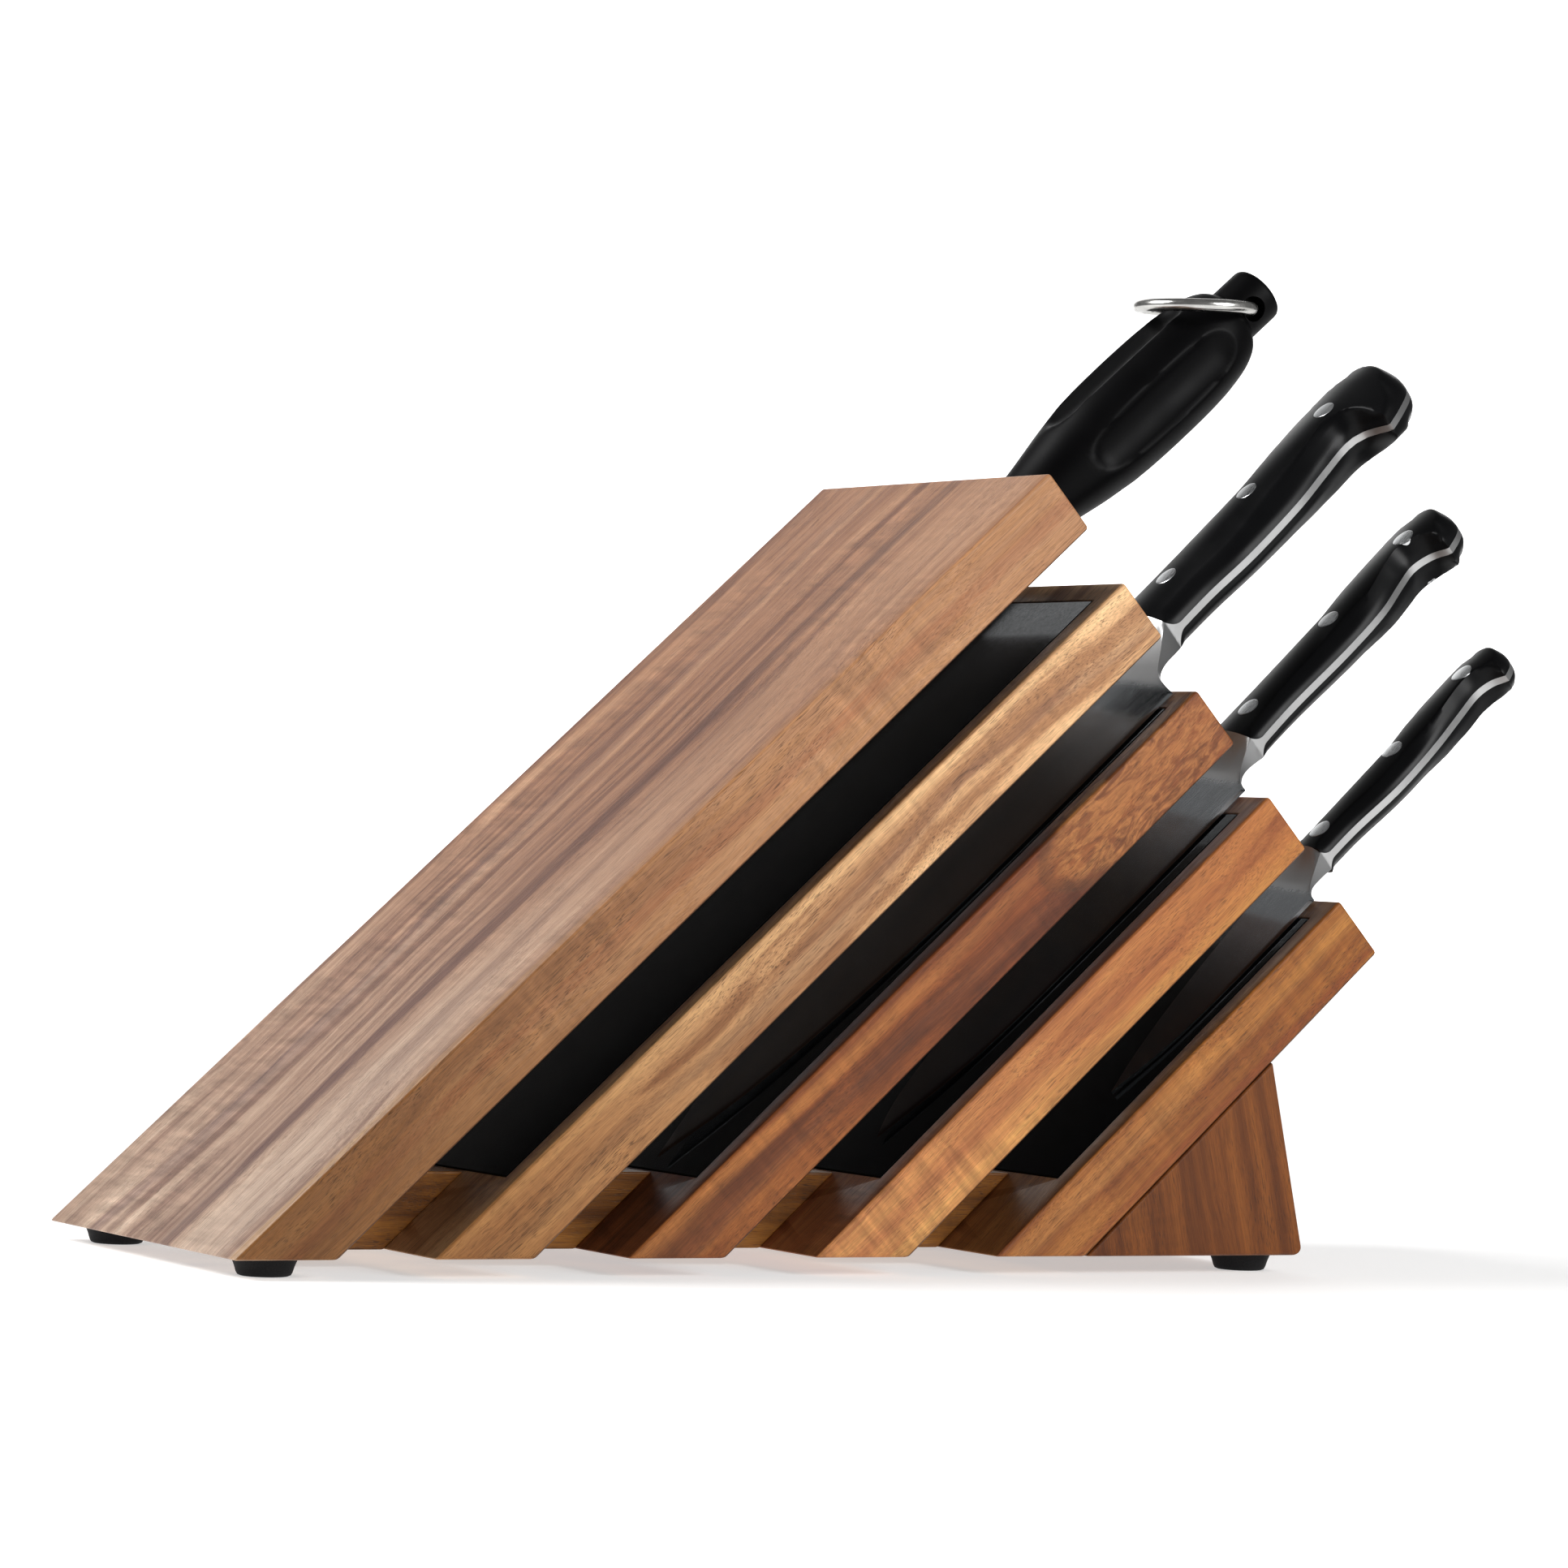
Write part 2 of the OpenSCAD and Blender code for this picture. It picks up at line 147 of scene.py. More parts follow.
def slab(name, stations, rows, top, bottom, sharp_degrees=32):
    """A closed sheet: stations are (x, low y, high y), rows are shares of the way across, and top and bottom
    give the height at x, y."""
    points = []
    for height in (top, bottom):
        for x, low, high in stations:
            for share in rows:
                y = low + (high - low) * share
                points.append((x, y, height(x, y)))
    across = len(rows)
    half = len(stations) * across
    faces = []
    for i in range(len(stations) - 1):
        for j in range(across - 1):
            a = i * across + j
            faces.append((a, a + across, a + across + 1, a + 1))
            faces.append((a + half, a + half + 1, a + half + across + 1, a + half + across))
        for j in (0, across - 1):
            a = i * across + j
            faces.append((a, a + half, a + half + across, a + across))
    for i in (0, len(stations) - 1):
        for j in range(across - 1):
            a = i * across + j
            faces.append((a, a + 1, a + half + 1, a + half))
    return mesh_of(name, points, faces, sharp_degrees)


def revolve(name, profile, turns, radius_at=None, sharp_degrees=32):
    """A solid turned about X; profile is (x, radius) from end to end, both ends at radius 0."""
    points, faces = [], []
    for x, radius in profile:
        for k in range(turns):
            angle = 2 * math.pi * k / turns
            r = radius_at(x, radius, angle) if radius_at and radius > 0 else radius
            points.append((x, r * math.cos(angle), r * math.sin(angle)))
    for i in range(len(profile) - 1):
        for k in range(turns):
            a, b = i * turns + k, i * turns + (k + 1) % turns
            faces.append((a, b, b + turns, a + turns))
    return mesh_of(name, points, faces, sharp_degrees)


def add_object(name, data, matrix):
    piece = bpy.data.objects.new(name, data)
    bpy.context.scene.collection.objects.link(piece)
    piece.matrix_world = matrix
    return piece


def add_piece(name, mesh, matrix, body, nodes, material):
    """A finished piece that stands for the named CAD nodes and moves with their body."""
    mesh.transform(matrix)
    piece = add_object(name, mesh, Matrix.Identity(4))
    piece.data.materials.clear()
    piece.data.materials.append(material)
    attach(piece, body)
    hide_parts(*nodes)
    return piece


def weigh_normals(piece):
    weigh = piece.modifiers.new("even shading", "WEIGHTED_NORMAL")
    weigh.keep_sharp = True


def cut(piece, tool, operation):
    """Applies one Boolean to the piece's mesh and removes the tool."""
    boolean = piece.modifiers.new("cut", "BOOLEAN")
    boolean.operation = operation
    boolean.solver = "EXACT"
    boolean.object = tool
    bpy.context.view_layer.update()
    result = bpy.data.meshes.new_from_object(piece.evaluated_get(bpy.context.evaluated_depsgraph_get()))
    piece.modifiers.clear()
    piece.data = result
    bpy.data.objects.remove(tool)


# --- material helpers ---

class Shader:
    """A node material with one Principled surface, and short ways to add nodes to it."""

    def __init__(self, name):
        self.material = bpy.data.materials.new(name)
        self.material.use_nodes = True
        self.tree = self.material.node_tree
        self.tree.nodes.clear()
        output = self.add("ShaderNodeOutputMaterial")
        self.surface = self.add("ShaderNodeBsdfPrincipled")
        self.tree.links.new(self.surface.outputs[0], output.inputs["Surface"])

    def add(self, kind, **settings):
        node = self.tree.nodes.new(kind)
        for key, value in settings.items():
            setattr(node, key, value)
        return node

    def put(self, socket, value):
        if isinstance(value, bpy.types.NodeSocket):
            self.tree.links.new(value, socket)
        elif socket.type == "RGBA":
            socket.default_value = (*value, 1.0)
        else:
            socket.default_value = value

    def set(self, **values):
        for key, value in values.items():
            self.put(self.surface.inputs[key.replace("_", " ").title()], value)

    def math(self, operation, a, b=0.0):
        node = self.add("ShaderNodeMath", operation=operation)
        self.put(node.inputs[0], a)
        self.put(node.inputs[1], b)
        return node.outputs[0]

    def vector(self, operation, a, b):
        node = self.add("ShaderNodeVectorMath", operation=operation)
        self.put(node.inputs[0], a)
        self.put(node.inputs[1], b)
        return node.outputs[0]

    def spread(self, value, low, high, to_low=0.0, to_high=1.0):
        """Value from low to high becomes to_low to to_high, with soft ends."""
        node = self.add("ShaderNodeMapRange", interpolation_type="SMOOTHSTEP")
        for socket, number in zip(node.inputs[:5], (value, low, high, to_low, to_high)):
            self.put(socket, number)
        return node.outputs[0]

    def mix(self, share, a, b, blend="MIX"):
        node = self.add("ShaderNodeMix", data_type="RGBA", blend_type=blend)
        self.put(node.inputs[0], share)
        self.put(node.inputs[6], a)
        self.put(node.inputs[7], b)
        return node.outputs[2]

    def noise(self, vector, scale, detail=3.0, roughness=0.5, distortion=0.0):
        """Noise whose size differs along each axis; scale is waves per unit of the vector."""
        node = self.add("ShaderNodeTexNoise")
        self.put(node.inputs["Vector"], self.vector("MULTIPLY", vector, scale))
        node.inputs["Scale"].default_value = 1.0
        node.inputs["Detail"].default_value = detail
        node.inputs["Roughness"].default_value = roughness
        node.inputs["Distortion"].default_value = distortion
        return node.outputs[0]

    def millimetres(self, matrix=None):
        """The place on the surface in a part's own frame, in millimetres."""
        matrix = matrix or Matrix.Identity(4)
        node = self.add("ShaderNodeMapping", vector_type="TEXTURE")
        self.put(node.inputs["Vector"], self.add("ShaderNodeTexCoord").outputs["Object"])
        node.inputs["Location"].default_value = matrix.to_translation()
        node.inputs["Rotation"].default_value = matrix.to_euler("XYZ")
        node.inputs["Scale"].default_value = (MM, MM, MM)
        return node.outputs[0]

    def axes(self, vector):
        node = self.add("ShaderNodeSeparateXYZ")
        self.put(node.inputs[0], vector)
        return node.outputs[0], node.outputs[1], node.outputs[2]

    def grey(self, value):
        """A colour with the value in all three of its channels."""
        node = self.add("ShaderNodeCombineXYZ")
        for socket in node.inputs:
            self.put(socket, value)
        return node.outputs[0]

    def bump(self, height, strength, distance_mm):
        node = self.add("ShaderNodeBump")
        node.inputs["Strength"].default_value = strength
        node.inputs["Distance"].default_value = distance_mm * MM
        self.put(node.inputs["Height"], height)
        self.put(self.surface.inputs["Normal"], node.outputs[0])


# --- wood ---

PURPLE = (0.095, 0.042, 0.036)
UMBER = (0.16, 0.075, 0.035)
PORE = (0.05, 0.022, 0.012)
PLAIN = (1.0, 1.0, 1.0)
# Painted shade: the dark grey that the boards' undersides are multiplied by, as if in shadow
UNDERSIDE_PAINTED_SHADE = (0.24, 0.21, 0.20)

# How far one board's wood lies from the next one's, per unit of its shift
SHIFT = (97.0, 41.0, 23.0)
# Waves per millimetre along X, Y and Z of each sort of figure; the grain runs along X
DRIFT = (0.007, 0.02, 0.02)
RINGS = (0.0035, 0.12, 0.12)
LINES = (0.010, 0.75, 0.75)
FIBRE = (0.05, 3.2, 3.2)
BLOTCH = (0.012, 0.035, 0.035)
RIPPLE = (0.26, 0.05, 0.05)
RIPPLE_PLACES = (0.009, 0.02, 0.02)
PORES = (0.22, 5.6, 5.6)
PORE_PLACES = (0.02, 0.10, 0.10)
SWIRL = (0.09, 0.30, 0.30)
CURLS = (0.10, 0.22, 0.22)
# How far the drift bends the grain sideways, in millimetres
BEND_Y = 26.0
BEND_Z = 17.0


def band(shader, across, centre, half_width, wander):
    """1 along a line across the grain and 0 beyond half_width of it; wander is added to the distance."""
    off = shader.math("ADD", shader.math("SUBTRACT", across, centre), wander)
    return shader.spread(shader.math("ABSOLUTE", off), half_width * 0.35, half_width, 1.0, 0.0)


class Wood(Shader):
    """Oiled wood with its grain along X of the given frame."""

    def __init__(self, name, matrix, shift):
        super().__init__(name)
        place = self.millimetres(matrix)
        self.x, self.y, self.z = self.axes(place)
        self.moved = self.vector("ADD", place, tuple(shift * far for far in SHIFT))
        self.drift = self.math("SUBTRACT", self.noise(self.moved, DRIFT, 2.0), 0.5)
        bend = self.add("ShaderNodeCombineXYZ")
        self.put(bend.inputs[1], self.math("MULTIPLY", self.drift, BEND_Y))
        self.put(bend.inputs[2], self.math("MULTIPLY", self.drift, BEND_Z))
        self.bent = self.vector("ADD", self.moved, bend.outputs[0])
        self.lines = self.noise(self.bent, LINES, 3.0, 0.6)
        self.fibre = self.noise(self.bent, FIBRE, 3.0, 0.6)

    def ground(self, light, middle, dark):
        """The colour from broad growth rings, single lines and blotches."""
        rings = self.noise(self.bent, RINGS, 5.0, 0.62)
        blotch = self.noise(self.moved, BLOTCH, 4.0, 0.55)
        tone = self.mix(self.spread(rings, 0.36, 0.52), dark, middle)
        tone = self.mix(self.spread(rings, 0.48, 0.66), tone, light)
        tone = self.mix(self.spread(self.lines, 0.56, 0.74, 0.0, 0.38), tone, dark)
        tone = self.mix(self.spread(blotch, 0.52, 0.74, 0.0, 0.42), tone, dark)
        return self.mix(self.spread(blotch, 0.30, 0.44, 0.30, 0.0), tone, light)

    def streak(self, tone, axis, centre, half_width, colour, strength, wander):
        """A coloured band along the grain, broken up by the single lines. axis is what it is placed on."""
        across = {"y": self.y, "z": self.z}[axis]
        line = band(self, across, centre, half_width, self.math("MULTIPLY", self.drift, wander))
        broken = self.spread(self.lines, 0.34, 0.60, 1.0, 0.55)
        share = self.math("MULTIPLY", self.math("MULTIPLY", line, broken), strength)
        return self.mix(share, tone, colour)

    def burr(self, tone, centre_x, centre_z, length, width, colour, strength):
        """An oval of swirling figure with a dark rim, as it shows on the near side."""
        along = self.math("DIVIDE", self.math("SUBTRACT", self.x, centre_x), length)
        across = self.math("DIVIDE", self.math("SUBTRACT", self.z, centre_z), width)
        squares = self.math("ADD", self.math("POWER", along, 2.0), self.math("POWER", across, 2.0))
        reach = self.math("ADD", self.math("SQRT", squares), self.math("MULTIPLY", self.drift, 0.5))
        inside = self.spread(reach, 0.80, 1.0, 1.0, 0.0)
        rim = band(self, reach, 0.97, 0.07, 0.0)
        swirl = self.spread(self.noise(self.bent, SWIRL, 4.0, 0.6, 1.4), 0.38, 0.60, 0.25, 1.0)
        curls = self.spread(self.noise(self.bent, CURLS, 4.0, 0.6, 2.6), 0.50, 0.62)
        share = self.math("MULTIPLY", self.math("MULTIPLY", inside, swirl), strength)
        tone = self.mix(share, tone, colour)
        tone = self.mix(self.math("MULTIPLY", rim, 0.55 * strength), tone, UMBER)
        share = self.math("MULTIPLY", self.math("MULTIPLY", curls, inside), 0.30 * strength)
        return self.mix(share, tone, UMBER)

    def rippled(self, tone, ripple):
        """Cross ripples that come and go, over fine fibres."""
        places = self.spread(self.noise(self.moved, RIPPLE_PLACES, 1.0), 0.42, 0.62)
        waves = self.math("SUBTRACT", self.noise(self.bent, RIPPLE, 2.0, 0.6), 0.5)
        waves = self.math("MULTIPLY", self.math("MULTIPLY", waves, places), ripple * 16.0)
        fine = self.spread(self.fibre, 0.30, 0.70, 0.86, 1.10)
        shade = self.math("MULTIPLY", self.math("ADD", waves, 1.0), fine)
        return self.mix(1.0, tone, self.grey(shade), "MULTIPLY")

    def dashes(self):
        """1 in the open pores, which are short dashes along the grain."""
        hollow = self.spread(self.noise(self.bent, PORES, 1.0, 0.4), 0.56, 0.66)
        places = self.spread(self.noise(self.moved, PORE_PLACES, 2.0), 0.40, 0.60, 0.45, 1.0)
        return self.math("MULTIPLY", hollow, places)

    def tinted(self, tone, length, side_toe, side_head, face_toe_tone_and_sheen, face_head_tone_and_sheen):
        """The colour drifts along a board, differently on its near side and its face, where the first board's
        face carries a painted sheen, and its underside is darkened with painted shade, as if in the rack's
        shadow."""
        along = self.spread(self.x, 0.0, length)
        near_side = self.spread(self.y, 0.3, 0.9, 1.0, 0.0)
        # Painted shade: the boards' undersides are multiplied down to a dark grey, as if in shadow
        underside = self.spread(self.z, 0.9 - BOARD_T, 0.3 - BOARD_T)
        # On the first board the face tints are partly a painted sheen: the face goes pale and bluish towards
        # its low end
        face = self.mix(along, face_toe_tone_and_sheen, face_head_tone_and_sheen)
        side = self.mix(along, side_toe, side_head)
        tint = self.mix(underside, self.mix(near_side, face, side), UNDERSIDE_PAINTED_SHADE)
        return self.mix(1.0, tone, tint, "MULTIPLY")


def wood(name, matrix, colours, shift, streaks=(), burrs=(), ripple=0.05, pores=0.5, tints=None):
    """Colours are light, middle and dark. A streak, a burr and the tints are what Wood's methods take."""
    shader = Wood(name, matrix, shift)
    tone = shader.ground(*colours)
    for streak in streaks:
        tone = shader.streak(tone, *streak)
    for burr in burrs:
        tone = shader.burr(tone, *burr)
    tone = shader.rippled(tone, ripple)
    dashes = shader.dashes()
    tone = shader.mix(shader.math("MULTIPLY", dashes, pores), tone, PORE)
    if tints:
        tone = shader.tinted(tone, *tints)
    shader.set(base_color=tone)
    shader.set(roughness=shader.spread(shader.fibre, 0.3, 0.7, 0.50, 0.38))
    shader.surface.inputs["Specular IOR Level"].default_value = 0.42
    raised = shader.math("MULTIPLY", shader.fibre, 0.35)
    shader.bump(shader.math("SUBTRACT", raised, shader.math("MULTIPLY", dashes, 0.7)), 0.35, 0.12)
    return shader.material


def board_1_wood():
    """Pink brown, with a purple band and a pale strip, browner on the side."""
    colours = ((0.56, 0.33, 0.195), (0.42, 0.225, 0.130), (0.245, 0.118, 0.070))
    streaks = [
        ("y", 49.0, 5.0, PURPLE, 0.62, 10.0),
        ("y", 24.0, 20.0, (0.56, 0.345, 0.215), 0.55, 6.0),
        ("y", 96.0, 7.0, (0.21, 0.115, 0.085), 0.45, 34.0),
        ("y", 1.0, 4.0, (0.42, 0.20, 0.078), 0.7, 0.0),
        ("z", -10.0, 3.2, (0.33, 0.125, 0.06), 0.55, 8.0),
    ]
    # The face tints are partly the wood's own paler tone and partly a painted sheen of reflected white light,
    # pale and bluish at the low end
    tints = (240.0, (0.55, 0.48, 0.30), (1.10, 1.12, 1.12), (1.06, 1.38, 1.80), (0.80, 0.75, 0.72))
    return wood("board 1 wood", board_matrix(1), colours, 1.3, streaks, (), 0.06, 0.55, tints)


def board_2_wood():
    """Golden, with a purple smudge and many fine pores."""
    colours = ((0.62, 0.385, 0.21), (0.50, 0.285, 0.148), (0.29, 0.14, 0.066))
    streaks = [
        ("z", -2.2, 1.4, (0.66, 0.42, 0.22), 0.6, 2.0),
        ("z", -14.0, 3.0, PURPLE, 0.38, 30.0),
    ]
    tints = (240.0, (0.68, 0.54, 0.34), (1.52, 1.60, 1.60), PLAIN, PLAIN)
    return wood("board 2 wood", board_matrix(2), colours, 2.1, streaks, (), 0.04, 0.62, tints)


def board_3_wood():
    """Red brown, with a golden burr near its top."""
    colours = ((0.36, 0.142, 0.056), (0.235, 0.080, 0.033), (0.13, 0.043, 0.021))
    streaks = [
        ("z", -12.5, 2.8, PURPLE, 0.5, 16.0),
        ("z", -4.0, 3.0, (0.40, 0.185, 0.08), 0.5, 9.0),
    ]
    burrs = [(207.0, -9.0, 46.0, 17.0, (0.50, 0.25, 0.10), 0.9)]
    tints = (250.0, (1.12, 1.06, 0.70), (0.92, 0.76, 0.66), PLAIN, PLAIN)
    return wood("board 3 wood", board_matrix(3), colours, 3.7, streaks, burrs, 0.05, 0.5, tints)


def board_4_wood():
    """Orange brown with strong cross ripples and a dark red band."""
    colours = ((0.54, 0.255, 0.105), (0.43, 0.17, 0.072), (0.26, 0.085, 0.038))
    streaks = [
        ("z", -7.5, 2.6, (0.25, 0.075, 0.04), 0.5, 12.0),
        ("z", -17.0, 3.2, (0.55, 0.29, 0.11), 0.6, 5.0),
    ]
    tints = (220.0, (1.28, 1.42, 1.26), (0.98, 0.86, 0.60), PLAIN, PLAIN)
    return wood("board 4 wood", board_matrix(4), colours, 4.4, streaks, (), 0.085, 0.45, tints)


def board_5_wood():
    """Brown with a dark line low on its side."""
    colours = ((0.44, 0.22, 0.082), (0.34, 0.155, 0.055), (0.22, 0.085, 0.034))
    streaks = [
        ("z", -17.6, 1.4, (0.24, 0.075, 0.038), 0.6, 3.0),
        ("z", -6.0, 4.0, (0.54, 0.31, 0.14), 0.4, 6.0),
    ]
    tints = (180.0, (1.14, 0.99, 0.76), (1.12, 0.95, 0.55), PLAIN, PLAIN)
    return wood("board 5 wood", board_matrix(5), colours, 5.9, streaks, (), 0.04, 0.55, tints)


def spacer_wood():
    colours = ((0.37, 0.165, 0.034), (0.28, 0.115, 0.022), (0.15, 0.056, 0.012))
    return wood("spacer wood", None, colours, 7.2, ripple=0.03, pores=0.7)


def wedge_wood():
    """Dark, with its grain upright."""
    upright = Matrix.Rotation(math.radians(-102.9), 4, "Y")
    colours = ((0.28, 0.096, 0.018), (0.215, 0.069, 0.013), (0.135, 0.040, 0.008))
    return wood("wedge wood", upright, colours, 8.6, ripple=0.03, pores=0.6)


def beech(name):
    shader = Shader(name)
    place = shader.millimetres()
    fleck = shader.noise(place, (0.2, 1.6, 1.6), 3.0, 0.6)
    pale, brown = (0.62, 0.44, 0.27), (0.50, 0.33, 0.19)
    shader.set(base_color=shader.mix(shader.spread(fleck, 0.4, 0.65), pale, brown))
    shader.set(roughness=shader.spread(fleck, 0.3, 0.7, 0.55, 0.7))
    shader.bump(fleck, 0.3, 0.08)
    return shader.material


# --- other materials ---

# How much darker steel is between its grinding marks, and how deep they are in millimetres
STEEL_SHADE = 0.86
STEEL_RELIEF = 0.03


def gloss_panel(name):
    """High-gloss black sheet with a barely visible orange peel."""
    shader = Shader(name)
    place = shader.millimetres()
    peel = shader.noise(place, (0.10, 0.10, 0.10), 2.0)
    dust = shader.noise(place, (1.1, 1.1, 1.1), 2.0, 0.7)
    shader.set(base_color=shader.mix(dust, (0.004, 0.004, 0.005), (0.008, 0.008, 0.009)))
    shader.set(roughness=shader.spread(dust, 0.3, 0.8, 0.10, 0.17))
    shader.surface.inputs["IOR"].default_value = 1.5
    shader.surface.inputs["Specular IOR Level"].default_value = 0.16
    shader.surface.inputs["Specular Tint"].default_value = (0.58, 0.78, 0.95, 1.0)
    shader.bump(peel, 0.05, 0.3)
    return shader.material


def brushed(shader, place, brush, rough_low, rough_high):
    """Grinding marks and the roughness that goes with them; brush is waves per millimetre along each axis."""
    marks = shader.noise(place, brush, 4.0, 0.65)
    cloud = shader.noise(place, (0.03, 0.05, 0.05), 3.0)
    rough = shader.spread(marks, 0.3, 0.7, rough_low, rough_high)
    return marks, shader.math("ADD", rough, shader.spread(cloud, 0.35, 0.65, -0.02, 0.02))


def steel(name, matrix, colour, rough_low, rough_high, brush, relief=0.06):
    """Ground steel of one finish all over."""
    shader = Shader(name)
    marks, rough = brushed(shader, shader.millimetres(matrix), brush, rough_low, rough_high)
    darker = tuple(c * STEEL_SHADE for c in colour)
    shader.set(base_color=shader.mix(shader.spread(marks, 0.35, 0.65), darker, colour))
    shader.set(metallic=1.0)
    shader.set(roughness=rough)
    shader.bump(marks, relief, STEEL_RELIEF)
    return shader.material


def blade_steel(name, matrix):
    """Polished along the blade, and satin from the heel back over the bolster and the tang."""
    colour = (0.60, 0.62, 0.64)
    darker = tuple(c * STEEL_SHADE for c in colour)
    bolster_grey, tang_grey = 0.60, 0.52
    satin_rough = 0.18
    shader = Shader(f"{name} steel")
    place = shader.millimetres(matrix)
    x = shader.axes(place)[0]
    marks, rough = brushed(shader, place, (0.15, 4.5, 4.5), 0.15, 0.22)
    behind = shader.spread(x, -1.0, 5.0)
    grey = shader.grey(shader.spread(x, 16.0, 30.0, bolster_grey, tang_grey))
    shader.set(base_color=shader.mix(behind, shader.mix(marks, darker, colour), grey))
    shader.set(metallic=1.0)
    shader.set(roughness=shader.math("ADD", rough, shader.math("MULTIPLY", behind, satin_rough)))
    shader.bump(marks, 0.05, STEEL_RELIEF)
    return shader.material


def dark_plastic(name, colour, rough, grain, relief, level=0.24):
    """Moulded black plastic; grain is the pitch of its fine texture and level is how much it shines."""
    shader = Shader(name)
    place = shader.millimetres()
    pebble = shader.noise(place, (grain, grain, grain), 3.0, 0.7)
    wear = shader.noise(place, (0.05, 0.05, 0.05), 3.0)
    lighter = tuple(c * 1.5 for c in colour)
    shader.set(base_color=shader.mix(shader.spread(pebble, 0.3, 0.7), colour, lighter))
    shader.set(roughness=shader.math("ADD", shader.spread(wear, 0.3, 0.7, -0.04, 0.05), rough))
    shader.surface.inputs["Specular IOR Level"].default_value = level
    shader.bump(pebble, relief, 0.05)
    return shader.material


def magnet_grey(name):
    shader = Shader(name)
    place = shader.millimetres()
    grit = shader.noise(place, (1.4, 1.4, 1.4), 4.0, 0.7)
    shader.set(base_color=shader.mix(grit, (0.06, 0.06, 0.065), (0.12, 0.12, 0.125)))
    shader.set(metallic=0.6)
    shader.set(roughness=shader.spread(grit, 0.3, 0.7, 0.5, 0.75))
    shader.bump(grit, 0.4, 0.1)
    return shader.material


# --- boards, spacers and wedge ---

# Edges of flat-sided pieces that turn by more stay sharp
FLAT_DEGREES = 30


def softened_block(outline, depth, radius):
    """A prism of the outline in X and Z, depth deep along Y, with every edge rounded."""
    work = bmesh.new()
    count = len(outline)
    near = [work.verts.new(Vector((x, 0.0, z)) * MM) for x, z in outline]
    far = [work.verts.new(Vector((x, depth, z)) * MM) for x, z in outline]
    work.faces.new(near)
    work.faces.new(list(reversed(far)))
    for k in range(count):
        n = (k + 1) % count
        work.faces.new((near[k], far[k], far[n], near[n]))
    bmesh.ops.recalc_face_normals(work, faces=work.faces)
    edges = work.edges[:]
    bmesh.ops.bevel(work, geom=edges, offset=radius * MM, segments=3, profile=0.5, affect="EDGES")
    mesh = bpy.data.meshes.new("envelope")
    work.to_mesh(mesh)
    work.free()
    return mesh


def soften_node(name, node, matrix, outline, depth, radius, material):
    """The CAD node's own solid with its outer edges rounded, so its recesses and holes stay as they are."""
    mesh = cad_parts[node].data.copy()
    mesh.transform(matrix.inverted())
    clean(mesh, FLAT_DEGREES)
    piece = add_object("solid", mesh, matrix)
    cut(piece, add_object("envelope", softened_block(outline, depth, radius), matrix), "INTERSECT")
    mesh = piece.data
    bpy.data.objects.remove(piece)
    clean(mesh, FLAT_DEGREES)
    weigh_normals(add_piece(name, mesh, matrix, "block", [node], material))


def make_board(i, material):
    high_x = board_len(i) + GROW
    toe = BOARD_T / math.tan(LEAN)
    outline = [(-GROW, GROW), (high_x, GROW), (high_x, -BOARD_T - GROW), (toe, -BOARD_T - GROW)]
    matrix = board_matrix(i) @ Matrix.Translation((0, -GROW * MM, 0))
    depth = BOARD_D + 2 * GROW
    edge_r = 1.1
    soften_node(f"wood_board_{i}", f"board_{i}", matrix, outline, depth, edge_r, material)


def make_panel(i, material):
    """The black panel in its recess, with finely eased edges."""
    edge_r = 0.25
    low_x = PANEL_START + PANEL_GAP
    high_x = board_len(i) - PANEL_TOP - PANEL_GAP
    low_y = PANEL_SIDE + PANEL_GAP
    outline = [(low_x, 0.0), (high_x, 0.0), (high_x, -PANEL_T), (low_x, -PANEL_T)]
    mesh = softened_block(outline, BOARD_D - 2 * low_y, edge_r)
    clean(mesh, FLAT_DEGREES)
    matrix = board_matrix(i) @ Matrix.Translation((0, low_y * MM, 0))
    node = f"magnet_panel_{i}"
    weigh_normals(add_piece(f"black_panel_{i}", mesh, matrix, "block", [node], material))


def make_spacer(i, material):
    low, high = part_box(f"spacer_{i}")
    edge_r = 0.6
    rise = (high.z - low.z) / MM
    lean_over = rise / math.tan(LEAN)
    flat = (high.x - low.x) / MM - lean_over
    outline = [(-GROW, -GROW), (flat + GROW, -GROW), (flat + lean_over + 2 * GROW, rise + GROW),
               (lean_over - GROW, rise + GROW)]
    matrix = Matrix.Translation(low - Vector((0, GROW * MM, 0)))
    depth = (high.y - low.y) / MM + 2 * GROW
    soften_node(f"wood_spacer_{i}", f"spacer_{i}", matrix, outline, depth, edge_r, material)


def make_wedge(material):
    """The triangular prop; its base lies on the table side and its long face on the last board."""
    base = 72.6
    face = 81.5
    edge_r = 0.9
    top = (face * math.cos(LEAN), face * math.sin(LEAN) + GROW)
    outline = [(-GROW, -GROW), (base + GROW, -GROW), top]
    matrix = Matrix.Translation(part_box("support_wedge")[0] - Vector((0, GROW * MM, 0)))
    depth = BOARD_D + 2 * GROW
    soften_node("wood_wedge", "support_wedge", matrix, outline, depth, edge_r, material)


# --- feet ---

